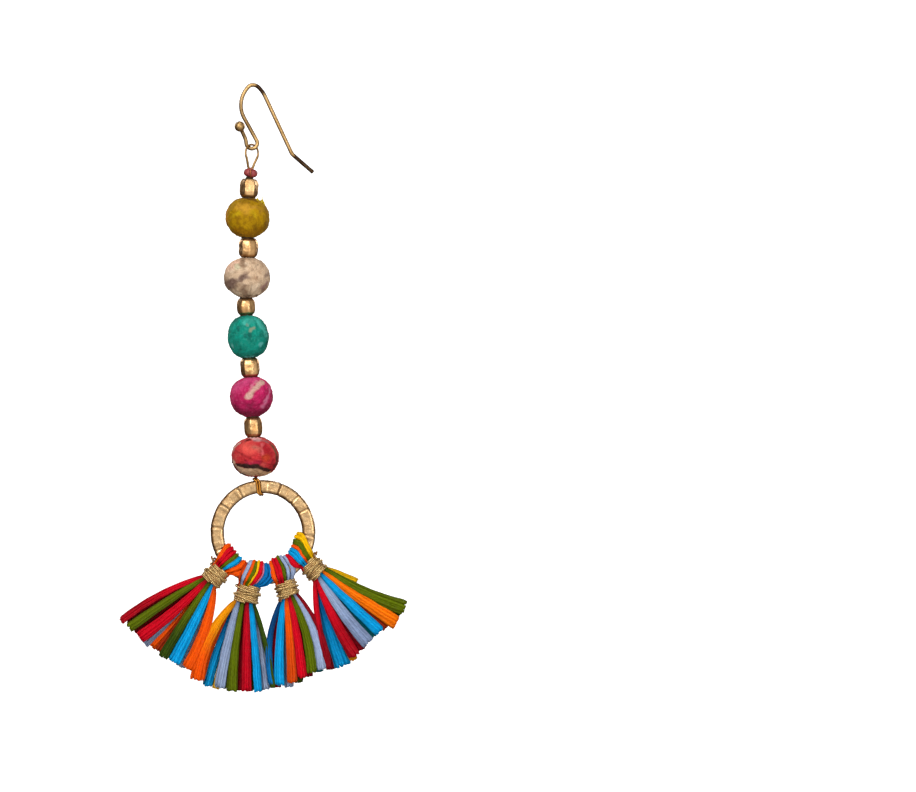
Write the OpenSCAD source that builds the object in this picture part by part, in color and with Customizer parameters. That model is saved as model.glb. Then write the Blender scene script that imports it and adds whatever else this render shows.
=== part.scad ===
// Drop earring: ear wire, cloth beads with gold beads between them, and a ring that carries four floss
// tassels. +Z is up, +X is to the right of the front view and +Y is away from the viewer. The origin is
// the inside top of the ear wire's arch, where it hangs in the ear. All sizes are in millimetres.

/* [Ear wire] */
// Thickness of the ear wire
wire_d = 0.8; // [0.7:0.05:0.85]
// Diameter of the ball on the end of the ear wire
ball_d = 2.1; // [1.6:0.1:2.2]
// Radius of the small bend that the drop hangs in
hang_bend_r = 1.1; // [1.05:0.01:1.2]
// Length of the long straight run behind the ear
tail_run = 12.3; // [8:0.1:16]

/* [Bead wire] */
// Thickness of the fine gold wire
fine_wire_d = 0.4; // [0.35:0.01:0.44]
// Radius of the round top of its loop
loop_r = 1.7; // [1.5:0.05:1.9]
// Turn of the loop about the vertical, away from the plane of the ear wire
loop_yaw = 45; // [40:1:60]
// Thickness of the doubled wire inside the beads
core_d = 0.7; // [0.5:0.05:0.75]
// Bore of every bead
bore_d = 1.2; // [1.1:0.05:1.3]

/* [Beads] */
// Gap between one bead and the next
bead_gap = 0.12; // [0.1:0.01:0.15]
// Width of the gold beads, from corner to corner
spacer_w = 3.9; // [3.6:0.1:4.1]

/* [Ring] */
// Outer diameter of the ring
ring_od = 21; // [20.5:0.1:21]
// Width of the ring's band
ring_band = 2.7; // [2.5:0.1:2.8]
// Depth of the ring from front to back
ring_depth = 2.1; // [1.8:0.1:2.1]

/* [Tassels] */
// Depth of the fringe at its cut ends
fringe_t = 3.2; // [2.4:0.1:3.4]
// Thickness of one strand where it lies on the ring
strand_t = 0.85; // [0.6:0.05:0.9]

/* [Hidden] */

// Ear wire, from the top of its arch: run, bend radius, bend angle (left is plus), roll of the bend plane
RUN = 0;
BEND_R = 1;
TURN = 2;
ROLL = 3;
FRONT_RUNS = [
    [0.1, 1.6, -47, 0],
    [0.3, 6.0, -18, 0],
    [tail_run, 2.0, 24, 0],
    [5.0, 0, 0, 0]
];
BACK_RUNS = [
    [0, 1.1, 48, 0],
    [0.2, 5.3, 71, 0],
    [5.1, hang_bend_r, -201, 0],
    [0.5, 2.5, 12, 0],
    [0, 1.6, 32, 82],
    [1.15, 0, 0, 0]
];
arch_z = wire_d / 2;
tail_tip = 0.2;
tip_taper = 0.6;
bend_step = 12;
wire_sides = 12;

// Points along a wire that starts at a place, with a heading and the side that plus bends turn to
function wire_points(rows, place, heading, side, i = 0) =
    i == len(rows) ? []
    : let (
        rolled = cos(rows[i][ROLL]) * side + sin(rows[i][ROLL]) * cross(heading, side),
        run_end = place + rows[i][RUN] * heading,
        turn = abs(rows[i][TURN]),
        to_centre = sign(rows[i][TURN]) * rolled,
        steps = ceil(turn / bend_step),
        bend = [
            for (k = [1:1:steps])
                run_end + rows[i][BEND_R] * (
                    sin(turn * k / steps) * heading + (1 - cos(turn * k / steps)) * to_centre
                )
        ],
        new_heading = cos(turn) * heading + sin(turn) * to_centre,
        new_side = cos(turn) * rolled - sin(turn) * sign(rows[i][TURN]) * heading
    )
    concat(
        rows[i][RUN] > 0 ? [run_end] : [],
        bend,
        wire_points(rows, steps > 0 ? bend[steps - 1] : run_end, new_heading, new_side, i + 1)
    );
ARCH_TOP = [0, 0, arch_z];
FRONT_POINTS = wire_points(FRONT_RUNS, ARCH_TOP, [1, 0, 0], [0, 0, 1]);
BACK_POINTS = wire_points(BACK_RUNS, ARCH_TOP, [-1, 0, 0], [0, 0, -1]);

// Bottom of the bend that the drop hangs in, on the wire's centreline
hang_z = min([for (p = BACK_POINTS) p[2]]);
hang_x = [for (p = BACK_POINTS) if (p[2] == hang_z) p[0]][0];
hang_gap = 0.2;
loop_z = hang_z + wire_d / 2 + hang_gap + fine_wire_d / 2 - loop_r;
loop_foot = 0.28;
loop_drop = 2.75;
loop_lean = asin(loop_r / norm([loop_foot, loop_drop])) - atan(loop_foot / loop_drop);

// Beads from the top: name, width, height, place across, fullness (2 is an ellipse), gap above
BEADS = [
    ["stopper", 2.8, 1.8, -0.37, 2.4, 0],
    ["spacer", spacer_w - 0.1, 3.75, -0.70, 2, 0.3],
    ["mustard", 8.4, 7.85, -0.95, 2.15, bead_gap],
    ["spacer", spacer_w, 3.85, -0.82, 2, bead_gap],
    ["cream", 9.0, 7.95, -1.15, 2.1, bead_gap],
    ["spacer", spacer_w, 3.3, -1.30, 2, bead_gap],
    ["teal", 7.9, 8.35, -0.92, 2.35, bead_gap],
    ["spacer", spacer_w, 3.85, -0.52, 2, bead_gap],
    ["magenta", 8.3, 7.75, -0.20, 2.15, bead_gap],
    ["spacer", spacer_w - 0.1, 4.0, 0.15, 2, bead_gap],
    ["red", 9.35, 7.85, 0.48, 2.2, bead_gap]
];
BEAD_W = 1;
BEAD_H = 2;
BEAD_X = 3;
BEAD_FULL = 4;
BEAD_GAP = 5;
string_top = -16.3;
SPACERS = [1, 3, 5, 7, 9];
SPACER_SIDES = 8;
// Turn of one gold bead to the next, in degrees for each place on the string
spacer_turn = 20;
function bead_top(i) = i == 0 ? string_top : bead_top(i - 1) - BEADS[i - 1][BEAD_H] - BEADS[i][BEAD_GAP];
function bead_z(i) = bead_top(i) - BEADS[i][BEAD_H] / 2;

// Ring
ring_x = 2.1;
ring_z = -89.05;
ring_r = ring_od / 2;
inner_r = ring_r - ring_band;
land_bevel = 0.45;
groove = 0.18;
// Angles of the cross grooves, clockwise from the ring's top
GROOVES = [-30, -4, 21, 44, 62, 94, 122, 147, 172, 198, 224, 248, 276, 304];
groove_arc = 3;

// Route of the doubled wire: where the loop's two legs meet, the bead centres, the last bead's foot
legs_meet = 0.8;
string_end_x = 0.65;
WIRE_ROUTE = concat(
    [[hang_x, loop_z - loop_drop - legs_meet]],
    [for (i = [0:len(BEADS) - 1]) [BEADS[i][BEAD_X], bead_z(i)]],
    [[string_end_x, bead_z(len(BEADS) - 1) - BEADS[len(BEADS) - 1][BEAD_H] / 2]]
);
function route_lean(i) = atan2(
    WIRE_ROUTE[i + 2][0] - WIRE_ROUTE[i][0],
    WIRE_ROUTE[i][1] - WIRE_ROUTE[i + 2][1]
);

// Turns of the fine wire round the ring: angle from the ring's top where they start, the angle that each
// turn moves on by, how far a turn slants, and the rounding at the band's corners
turns_from = -9;
turn_pitch = 3.8;
turn_slant = 2.2;
turn_corner = 0.5;
turn_gap = 0.1;
turn_half_band = ring_band / 2 + turn_gap + fine_wire_d / 2;
turn_half_depth = ring_depth / 2 + turn_gap + fine_wire_d / 2;
TURN_QUARTERS = [1, 2, 3, 4, 5, 6, 7];

// Tassels, placed from the ring's centre. Angles are from straight down, plus to the right: head from,
// head to, how far the head stands in from the ring, neck x, neck z, lean of the neck, width of the
// winding, its length, fan from, fan to, length of the locks, number of locks
TASSELS = [
    [-71, -27.3, 1.2, -9.75, -8.90, -44, 4.2, 3.2, -66, -14, 20.2, 8],
    [-26, 10, 2.1, -3.25, -12.70, -14, 4.7, 3.0, -32, 15, 19.4, 7],
    [13, 39, 2.4, 4.85, -11.65, 17, 4.1, 2.8, -8, 25, 18.6, 5],
    [42, 88, 1.6, 10.45, -7.55, 45, 4.0, 3.2, 8, 69, 20.0, 9]
];
HEAD_FROM = 0;
HEAD_TO = 1;
CREST = 2;
NECK_X = 3;
NECK_Z = 4;
NECK_LEAN = 5;
WIND_W = 6;
WIND_L = 7;
FAN_FROM = 8;
FAN_TO = 9;
LOCK_L = 10;
LOCKS = 11;
wind_wall = 0.5;
wind_gap = 0.15;
wind_pitch = 0.52;
neck_depth = 2;
ring_clear = 0.14;
// How much thinner the neck and the fan are at their two edges, as shares
neck_thin = 0.5;
fan_thin = 0.4;
// How far the neck's strands stay clear of each other outside the winding before they spread
past_wind = 0.24;
// Grooves between neighbouring strands, in the neck and at the cut ends, and notches in the cut edge
strand_groove = 0.3;
lock_groove = 0.5;
end_notch = 0.7;
end_uneven = 0.35;
// How full a lock is across its width: groove, shoulder, crown, shoulder
LOCK_SECTION = [0, 0.8, 1, 0.8];
SECTION_POINTS = len(LOCK_SECTION);
// Shares of the way along a lock, and from the neck to the ring's inner edge, that have a row of points
LOCK_WAY = [1, 0.78, 0.56, 0.34, 0.14, 0];
HEAD_WAY = [0.15, 0.55, 0.98];
HEAD_ROWS = len(HEAD_WAY) + 2;
// Bend of a lock, as a share of its length and of the way from the neck's lean to the lock's angle
knee_share = 0.3;
knee_turn = 0.6;
// Fold at the ring's inner edge: how far in and out it stands, and how much thinner than the crest
fold_share = 0.42;
fold_thin = 0.72;

$fn = 48;

function unit(v) = v / norm(v);
// Part way from a to b
function mix(a, b, t) = a + (b - a) * t;
// Direction in the ring's plane, at an angle from straight down
function down_dir(angle) = [sin(angle), 0, -cos(angle)];
// Direction across it
function across_dir(angle) = [cos(angle), 0, sin(angle)];

// Direction of the wire at each point, and a direction across it that turns as little as it can
function headings(points) = [
    for (i = [0:len(points) - 1])
        unit(points[min(i + 1, len(points) - 1)] - points[max(i - 1, 0)])
];
function square_to(v, heading) = unit(v - (v * heading) * heading);
function sides(ahead, first) = [
    for (
        i = 0, side = square_to(first, ahead[0]);
        i < len(ahead);
        i = i + 1, side = i < len(ahead) ? square_to(side, ahead[i]) : side
    )
        side
];

// Round wire along a list of points, with its radius at each point
module wire(points, radii, first_side) {
    ahead = headings(points);
    across = sides(ahead, first_side);
    rings = [
        for (i = [0:len(points) - 1])
            for (k = [0:wire_sides - 1])
                let (a = 360 * k / wire_sides)
                    points[i] + radii[i] * (cos(a) * across[i] + sin(a) * cross(ahead[i], across[i]))
    ];
    walls = [
        for (i = [0:len(points) - 2])
            for (k = [0:wire_sides - 1])
                let (a = i * wire_sides + k, b = i * wire_sides + (k + 1) % wire_sides)
                    each [[a, a + wire_sides, b], [b, a + wire_sides, b + wire_sides]]
    ];
    first_cap = [for (k = [0:wire_sides - 1]) k];
    last_cap = [for (k = [wire_sides - 1:-1:0]) (len(points) - 1) * wire_sides + k];
    polyhedron(rings, concat([first_cap], walls, [last_cap]));
}

// The ear wire: the ball, the bend that the drop hangs in, the arch, the tail and its tapered tip
module ear_hook() color("goldenrod") {
    ball_r = ball_d / 2;
    ball_foot = asin(wire_d / ball_d);
    BALL_ANGLES = [ball_foot + 10, 30, 50, 70, 90, 110, 130, 150, 170];
    wire_end = BACK_POINTS[len(BACK_POINTS) - 1];
    to_ball = unit(wire_end - BACK_POINTS[len(BACK_POINTS) - 2]);
    tail_end = FRONT_POINTS[len(FRONT_POINTS) - 1];
    to_tip = unit(tail_end - FRONT_POINTS[len(FRONT_POINTS) - 2]);
    ball = [
        for (k = [len(BALL_ANGLES) - 1:-1:0])
            let (a = BALL_ANGLES[k])
                [wire_end + ball_r * (cos(ball_foot) - cos(a)) * to_ball, ball_r * sin(a)]
    ];
    back = [for (k = [len(BACK_POINTS) - 1:-1:0]) [BACK_POINTS[k], wire_d / 2]];
    front = [for (p = concat([ARCH_TOP], FRONT_POINTS)) [p, wire_d / 2]];
    tip = [[tail_end + tail_tip * to_tip, tip_taper * wire_d / 2]];
    stations = concat(ball, back, front, tip);
    wire([for (s = stations) s[0]], [for (s = stations) s[1]], [0, 1, 0]);
}

// Point of a turn round the ring's band, at an angle of the turn: 0 behind, 90 outside, 180 in front
function turn_point(angle, quarter) =
    let (
        middle = 90 * quarter + 45,
        depth = (turn_half_depth - turn_corner) * sign(cos(middle)) + turn_corner * cos(angle),
        out = (turn_half_band - turn_corner) * sign(sin(middle)) + turn_corner * sin(angle),
        place = turns_from + turn_pitch * angle / 360 - turn_slant * sin(angle)
    )
    [ring_x, depth, ring_z] + (ring_r - ring_band / 2 + out) * down_dir(180 - place);

// The fine wire in one run: loop, down through the beads, and round the ring
module bead_wire() color("darkgoldenrod") {
    fine_r = fine_wire_d / 2;
    loop_x = [cos(loop_yaw), sin(loop_yaw), 0];
    loop_centre = [hang_x, 0, loop_z];
    foot_z = [0, 0, -loop_drop];
    arc_steps = 18;
    arc = [
        for (k = [0:arc_steps])
            let (a = -loop_lean + (180 + 2 * loop_lean) * k / arc_steps)
                loop_centre + loop_r * (cos(a) * loop_x + sin(a) * [0, 0, 1])
    ];
    feet = [for (side = [1, -1]) loop_centre + foot_z + side * loop_foot * loop_x];
    loop = concat([feet[0]], arc, [feet[1]]);
    string = [for (p = WIRE_ROUTE) [p[0], 0, p[1]]];
    string_end = string[len(string) - 1];
    turn_top = turn_point(90, 1) + [0, turn_half_depth - turn_corner, 0];
    turns = [for (quarter = TURN_QUARTERS) for (a = [0:45:90]) turn_point(90 * quarter + a, quarter)];
    wire(
        concat(loop, string, [mix(string_end, turn_top, 0.3), turn_top], turns),
        concat(
            [for (p = loop) fine_r],
            [for (p = string) core_d / 2],
            [for (k = [0:1 + len(turns)]) fine_r]
        ),
        [0, 0, 1]
    );
}

// Places a bead of the string at its centre, leaning with the wire
module on_string(i) {
    translate([BEADS[i][BEAD_X], 0, bead_z(i)])
        rotate([0, -route_lean(i), 0])
            children();
}

module bore(h) {
    translate([0, 0, -h])
        cylinder(d = bore_d, h = 2 * h);
}

// Outline of a full round bead, from its top pole to its bottom pole
function bead_outline(w, h, full, steps = 18) = [
    for (k = [0:steps])
        let (a = 180 * k / steps)
            [
                w / 2 * pow(sin(a), 2 / full),
                h / 2 * sign(cos(a)) * pow(abs(cos(a)), 2 / full)
            ]
];

module round_bead(i) {
    on_string(i)
        difference() {
            rotate_extrude()
                polygon(bead_outline(BEADS[i][BEAD_W], BEADS[i][BEAD_H], BEADS[i][BEAD_FULL]));
            bore(BEADS[i][BEAD_H]);
        }
}

// Faceted barrel: rings of flats, widest in the middle, with a bevel towards each end
module faceted_bead(i) {
    w = BEADS[i][BEAD_W];
    h = BEADS[i][BEAD_H];
    // Height from the middle and width, as shares of the whole
    LEVELS = [[-0.5, 0.7], [-0.36, 0.93], [-0.18, 1], [0.18, 1], [0.36, 0.93], [0.5, 0.7]];
    slice_h = 0.02;
    on_string(i)
        rotate([0, 0, 180 / SPACER_SIDES + spacer_turn * i])
            difference() {
                hull()
                    for (level = LEVELS)
                        translate([0, 0, level[0] * (h - slice_h) - slice_h / 2])
                            cylinder(d = level[1] * w, h = slice_h, $fn = SPACER_SIDES);
                bore(h);
            }
}

module stopper_bead() color("indianred") round_bead(0);
module bead_mustard() color("darkgoldenrod") round_bead(2);
module bead_cream() color("antiquewhite") round_bead(4);
module bead_teal() color("lightseagreen") round_bead(6);
module bead_magenta() color("mediumvioletred") round_bead(8);
module bead_red() color("crimson") round_bead(10);
module spacer_bead(number) color("gold") faceted_bead(SPACERS[number - 1]);

// Section of the ring's band with its long edges bevelled, shrunk by a given depth all round
module band_section(shrink) {
    half_w = ring_band / 2 - shrink;
    half_t = ring_depth / 2 - shrink;
    translate([inner_r + ring_band / 2, 0])
        polygon([
            [half_w, -half_t + land_bevel], [half_w, half_t - land_bevel],
            [half_w - land_bevel, half_t], [-half_w + land_bevel, half_t],
            [-half_w, half_t - land_bevel], [-half_w, -half_t + land_bevel],
            [-half_w + land_bevel, -half_t], [half_w - land_bevel, -half_t]
        ]);
}

module fringe_ring() color("darkkhaki") {
    translate([ring_x, 0, ring_z])
        rotate([90, 0, 0]) {
            rotate_extrude()
                band_section(groove);
            for (i = [0:len(GROOVES) - 1]) {
                from = GROOVES[i] + groove_arc / 2;
                to = (i + 1 < len(GROOVES) ? GROOVES[i + 1] : GROOVES[0] + 360) - groove_arc / 2;
                rotate([0, 0, 90 - to])
                    rotate_extrude(angle = to - from)
                        band_section(0);
            }
        }
}

// Point of a tassel's neck: along its lean, across it and towards the back, from the neck's centre
function neck_point(t, along, across, depth) =
    [t[NECK_X], depth, t[NECK_Z]]
        + along * down_dir(t[NECK_LEAN])
        + across * across_dir(t[NECK_LEAN]);

// Column j of a tassel: its share of the way across, and how full its lock is there
function column_share(t, j) = j / (SECTION_POINTS * t[LOCKS]);
function column_full(j) = LOCK_SECTION[j % SECTION_POINTS];

// Neck: half its width, and half its depth, which is less towards its two edges
function neck_w(t) = t[WIND_W] / 2 - wind_wall - wind_gap;
function neck_y(share) = neck_depth / 2 * (1 - neck_thin * pow(abs(2 * share - 1), 3));
function neck_row(t, j, along, face) =
    let (share = column_share(t, j))
        neck_point(
            t,
            along,
            mix(-neck_w(t), neck_w(t), share),
            face * (neck_y(share) - strand_groove * (1 - column_full(j)))
        );

// Fan of locks: each column bends from the neck towards its own angle
function lock_point(t, j, way, face) =
    let (
        share = column_share(t, j),
        full = column_full(j),
        angle = mix(t[FAN_FROM], t[FAN_TO], share),
        root = neck_point(t, t[WIND_L] / 2 + past_wind, mix(-neck_w(t), neck_w(t), share), 0),
        knee = root + t[LOCK_L] * knee_share * down_dir(mix(t[NECK_LEAN], angle, knee_turn)),
        reach = t[LOCK_L] - end_notch * (1 - full) + end_uneven * sin(130 * floor(j / SECTION_POINTS)),
        tip = [t[NECK_X], 0, t[NECK_Z]] + reach * down_dir(angle),
        depth = mix(neck_y(share), fringe_t / 2 * (1 - fan_thin * pow(abs(2 * share - 1), 8)), way),
        groove_t = mix(strand_groove, lock_groove, way)
    )
    pow(1 - way, 2) * root + 2 * way * (1 - way) * knee + way * way * tip
        + [0, face * (depth - groove_t * (1 - full)), 0];

// Middle of a tassel's head, from the neck up one face to the crest inside the ring: place, direction
// outwards and thickness
function head_section(t, j, row, face) =
    let (
        share = column_share(t, j),
        angle = mix(t[HEAD_FROM], t[HEAD_TO], share),
        start = neck_point(t, -t[WIND_L] / 2 - past_wind, mix(-neck_w(t), neck_w(t), share), 0),
        rim = inner_r * down_dir(angle),
        over = ring_depth / 2 + ring_clear + strand_t / 2,
        crest_t = t[CREST] - ring_clear,
        inwards = -down_dir(angle)
    )
    row < len(HEAD_WAY) ?
        [mix(start, rim, HEAD_WAY[row]) + [0, face * over, 0], [0, face, 0], strand_t]
    : row == len(HEAD_WAY) ?
        [
            rim + (ring_clear + fold_share * crest_t) * inwards + [0, face * fold_share * ring_depth, 0],
            (inwards + [0, face, 0]) / sqrt(2),
            fold_thin * crest_t
        ]
    :
        [rim + (ring_clear + crest_t / 2) * inwards, inwards, crest_t];
function head_outside(t, j, row, face) =
    let (h = head_section(t, j, row, face))
        h[0] + (h[2] / 2 - strand_groove * (1 - column_full(j))) * h[1];
function head_inside(t, j, row, face) =
    let (h = head_section(t, j, row, face))
        h[0] - h[2] / 2 * h[1];

// A tassel is one closed skin. Its outside runs from the front's cut ends up to the neck, over the ring
// and down the back. Its inside runs round the ring, from the fork above the neck and back to it.
module tassel(number) {
    t = TASSELS[number - 1];
    cols = SECTION_POINTS * t[LOCKS] + 1;
    columns = [0:cols - 1];
    fork = -t[WIND_L] / 2 - past_wind - 0.05;
    outside = concat(
        [for (way = LOCK_WAY) [for (j = columns) lock_point(t, j, way, -1)]],
        [[for (j = columns) neck_row(t, j, -t[WIND_L] / 2 - past_wind, -1)]],
        [for (row = [0:HEAD_ROWS - 1]) [for (j = columns) head_outside(t, j, row, -1)]],
        [for (row = [HEAD_ROWS - 2:-1:0]) [for (j = columns) head_outside(t, j, row, 1)]],
        [[for (j = columns) neck_row(t, j, -t[WIND_L] / 2 - past_wind, 1)]],
        [for (k = [len(LOCK_WAY) - 1:-1:0]) [for (j = columns) lock_point(t, j, LOCK_WAY[k], 1)]]
    );
    inside = concat(
        [[
            for (j = columns)
                neck_point(t, fork, mix(-neck_w(t), neck_w(t), column_share(t, j)), 0)
        ]],
        [for (row = [0:HEAD_ROWS - 1]) [for (j = columns) head_inside(t, j, row, -1)]],
        [for (row = [HEAD_ROWS - 2:-1:0]) [for (j = columns) head_inside(t, j, row, 1)]]
    );
    rows = concat(outside, inside);
    last = len(outside) - 1;
    neck = len(LOCK_WAY);
    turns = len(inside);
    // Index of a point by row and column, on the outside and on the inside
    function out_at(i, j) = i * cols + j;
    function in_at(i, j) = (last + 1 + i % turns) * cols + j;
    // Two triangles of a quad whose corners run clockwise seen from outside
    function quad(a, b, c, d) = [[a, b, c], [a, c, d]];
    skin = [
        for (i = [0:last - 1])
            for (j = [0:cols - 2])
                each quad(out_at(i, j), out_at(i + 1, j), out_at(i + 1, j + 1), out_at(i, j + 1))
    ];
    lining = [
        for (i = [0:turns - 1])
            for (j = [0:cols - 2])
                each quad(in_at(i, j), in_at(i, j + 1), in_at(i + 1, j + 1), in_at(i + 1, j))
    ];
    cut_ends = [
        for (j = [0:cols - 2])
            each quad(out_at(0, j), out_at(0, j + 1), out_at(last, j + 1), out_at(last, j))
    ];
    // Side wall at one column: the fan and the neck, the fork, then the fold round the ring
    function side(j) = concat(
        [
            for (i = [0:neck - 1])
                each quad(out_at(i + 1, j), out_at(i, j), out_at(last - i, j), out_at(last - i - 1, j))
        ],
        [[out_at(neck, j), out_at(last - neck, j), in_at(0, j)]],
        [
            for (i = [neck:last - neck - 1])
                each quad(out_at(i + 1, j), out_at(i, j), in_at(i - neck, j), in_at(i - neck + 1, j))
        ]
    );
    right_side = [for (face = side(cols - 1)) [face[2], face[1], face[0]]];
    translate([ring_x, 0, ring_z])
        polyhedron(
            [for (row = rows) each row],
            concat(skin, lining, cut_ends, side(0), right_side)
        );
}

// Wall of a winding, seen in section: a ridge for each turn of the thread. Between ridges the wall is a
// share of its thickness, and a ridge's flat starts and ends at shares of the pitch.
ridge_root = 0.7;
RIDGE_FLAT = [0.3, 0.7];
function wound_outline(turns, inner) = concat(
    [[inner, turns * wind_pitch / 2], [inner, -turns * wind_pitch / 2]],
    [
        for (k = [0:turns - 1])
            let (z = (k - turns / 2) * wind_pitch)
                each [
                    [inner + wind_wall * ridge_root, z],
                    [inner + wind_wall, z + wind_pitch * RIDGE_FLAT[0]],
                    [inner + wind_wall, z + wind_pitch * RIDGE_FLAT[1]]
                ]
    ],
    [[inner + wind_wall * ridge_root, turns * wind_pitch / 2]]
);

// Gold thread wound round a flattened neck: two round ends and two straight sides
module binding(number) color("tan") {
    t = TASSELS[number - 1];
    turns = floor(t[WIND_L] / wind_pitch);
    inner = neck_depth / 2 + wind_gap;
    flat = t[WIND_W] / 2 - wind_wall - inner;
    translate([ring_x, 0, ring_z])
        translate(neck_point(t, 0, 0, 0))
            rotate([0, -t[NECK_LEAN], 0])
                for (end = [0, 1])
                    rotate([0, 0, 180 * end]) {
                        translate([flat, 0, 0])
                            rotate([0, 0, -90])
                                rotate_extrude(angle = 180)
                                    polygon(wound_outline(turns, inner));
                        translate([flat, 0, 0])
                            rotate([90, 0, -90])
                                linear_extrude(height = 2 * flat)
                                    polygon(wound_outline(turns, inner));
                    }
}

module tassel_1() color("orangered") tassel(1);
module tassel_2() color("olivedrab") tassel(2);
module tassel_3() color("deepskyblue") tassel(3);
module tassel_4() color("orange") tassel(4);

ear_hook();
bead_wire();
stopper_bead();
spacer_bead(1);  // spacer_bead_1
spacer_bead(2);  // spacer_bead_2
spacer_bead(3);  // spacer_bead_3
spacer_bead(4);  // spacer_bead_4
spacer_bead(5);  // spacer_bead_5
bead_mustard();
bead_cream();
bead_teal();
bead_magenta();
bead_red();
fringe_ring();
tassel_1();
tassel_2();
tassel_3();
tassel_4();
binding(1);  // binding_1
binding(2);  // binding_2
binding(3);  // binding_3
binding(4);  // binding_4
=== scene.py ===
"""Looks of a drop earring: ear wire, string of cloth and gold beads, hammered ring and floss tassels."""
import math
from collections import namedtuple

import bpy
import numpy as np
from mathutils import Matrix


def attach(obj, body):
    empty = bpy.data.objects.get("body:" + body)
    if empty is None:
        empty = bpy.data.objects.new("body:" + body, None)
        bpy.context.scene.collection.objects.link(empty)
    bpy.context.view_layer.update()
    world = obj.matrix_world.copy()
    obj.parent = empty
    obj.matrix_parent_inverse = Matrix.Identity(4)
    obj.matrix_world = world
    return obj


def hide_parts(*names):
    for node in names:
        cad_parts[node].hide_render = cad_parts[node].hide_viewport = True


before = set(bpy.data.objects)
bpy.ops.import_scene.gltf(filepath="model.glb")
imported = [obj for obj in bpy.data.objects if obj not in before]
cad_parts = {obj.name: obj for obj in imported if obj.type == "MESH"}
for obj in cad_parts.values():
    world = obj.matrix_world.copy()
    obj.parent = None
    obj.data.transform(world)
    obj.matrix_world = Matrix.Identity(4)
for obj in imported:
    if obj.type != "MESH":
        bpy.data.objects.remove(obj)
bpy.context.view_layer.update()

# Shapes are worked out in millimetres, seen from the front: x to the right, y to the back, z up
MM = 0.001
RIGHT, BEHIND, UP = np.eye(3)
FRONT, BACK = -1, 1
# Degrees from one thread of a strand to the next, which spreads them evenly over its section
GOLDEN_ANGLE = 137.5

# Colours, as red, green and blue from 0 to 255
COLOURS = {
    "red": (198, 0, 28), "crimson": (160, 2, 22), "deep_red": (178, 0, 26), "dark_red": (128, 0, 18),
    "rust": (170, 50, 8), "burnt_orange": (206, 70, 4), "orange": (232, 82, 0),
    "bright_orange": (240, 116, 0), "amber": (226, 144, 0), "yellow": (238, 184, 0),
    "green": (86, 102, 0), "dark_green": (48, 70, 6), "teal": (0, 104, 112), "cyan": (0, 150, 212),
    "blue": (0, 104, 168), "dark_blue": (0, 60, 112), "lavender": (144, 162, 194),
    "pale_blue": (126, 144, 178), "light_blue": (166, 184, 216), "pink": (206, 116, 140),
}

# Ear wire, from the top of its arch: run, bend radius, bend angle, roll of the bend plane
WIRE_R = 0.4
BALL_R = 1.05
ARCH_TOP = (0, 0, WIRE_R)
FRONT_RUNS = [(0.1, 1.6, -47, 0), (0.3, 6.0, -18, 0), (12.3, 2.0, 24, 0), (5.0, 0, 0, 0)]
BACK_RUNS = [
    (0, 1.1, 48, 0), (0.2, 5.3, 71, 0), (5.1, 1.1, -201, 0), (0.5, 2.5, 12, 0), (0, 1.6, 32, 82),
    (1.15, 0, 0, 0),
]
# Degrees between neighbouring points of a bend
BEND_STEP = 4

# Fine wire: the loop's centre, how its legs drop and meet, and its turn about the vertical
FINE_R = 0.2
LOOP_CENTRE = (-0.123, 0, -13.222)
LOOP_R = 1.7
LOOP_FOOT = 0.28
LOOP_DROP = 2.75
LOOP_YAW = 45
LEGS_MEET_Z = -16.77
STRING_SHIFT = -0.25
# The loop's right leg: place to the side and height above its foot
LOOP_LEG = [(0.28, -1.9), (0.34, -0.75), (0.5, -0.3), (0.72, 0.15), (0.95, 0.8)]
# Two turns of the wire round the ring: first angle, degrees for each turn, slant, corner, gap to the ring
TURNS_START = -8.6
TURNS_PITCH = 3.1
TURNS_SLANT = 2.2
TURNS_CORNER = 0.5
TURNS_GAP = 0.1

# Beads from the top: width, height, place across, fullness (2 is an ellipse), gap above
STRING_TOP = -16.3
STOPPER, NUGGET, MUSTARD, CREAM, TEAL, MAGENTA, RED = 0, 1, 2, 4, 6, 8, 10
Bead = namedtuple("Bead", "width height x full gap")
BEADS = [Bead(*row) for row in (
    (2.8, 1.8, -0.37, 2.4, 0), (3.8, 3.75, -0.70, 2, 0.3), (8.4, 7.85, -0.95, 2.15, 0.12),
    (3.9, 3.85, -0.82, 2, 0.12), (9.0, 7.95, -1.15, 2.1, 0.12), (3.9, 3.3, -1.30, 2, 0.12),
    (7.9, 8.35, -0.92, 2.35, 0.12), (3.9, 3.85, -0.52, 2, 0.12), (8.3, 7.75, -0.20, 2.15, 0.12),
    (3.8, 4.0, 0.15, 2, 0.12), (9.35, 7.85, 0.48, 2.2, 0.12),
)]
# Metal beads from the top: flats, sharpness of their edges, turn about the string in degrees
SPACERS = [(6, 30, 38), (8, 14, 8), (8, 14, 22), (8, 14, 14), (8, 14, 30)]
SPACER_ROWS = 61
SPACER_COLS = 96
# Their bevels: heights from the middle, in shares of the height, and widths there, in shares of the width
BEVEL_Z = np.array([-0.5, -0.36, -0.18, 0.18, 0.36, 0.5])
BEVEL_W = np.array([0.7, 0.93, 1, 1, 0.93, 0.7])
LIP_W = np.array([0.5, 0.62])
LIP_DIP = 0.02
BORE_R = 0.6
STRING_END_X = 0.65
# Dark turn of thread between neighbouring beads, a painted shadow where they meet: radius and thickness
SHADE_COIL_R = 1.15
SHADE_COIL_THICK = 0.12

# Ring: centre, radii, depth, and the angles of its cross grooves, clockwise from the top
RING_CENTRE = np.array([2.1, 0, -89.05])
RING_R = 10.5
BAND = 2.7
INNER_R = RING_R - BAND
RING_DEPTH = 2.1
GROOVES = (-30, -4, 21, 44, 62, 94, 122, 147, 172, 198, 224, 248, 276, 304)
DEEP_GROOVE = 2
GROOVE_HALF = 1.15
RING_CORNER = 0.6
RING_ROWS = 640
RING_COLS = 48

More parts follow.
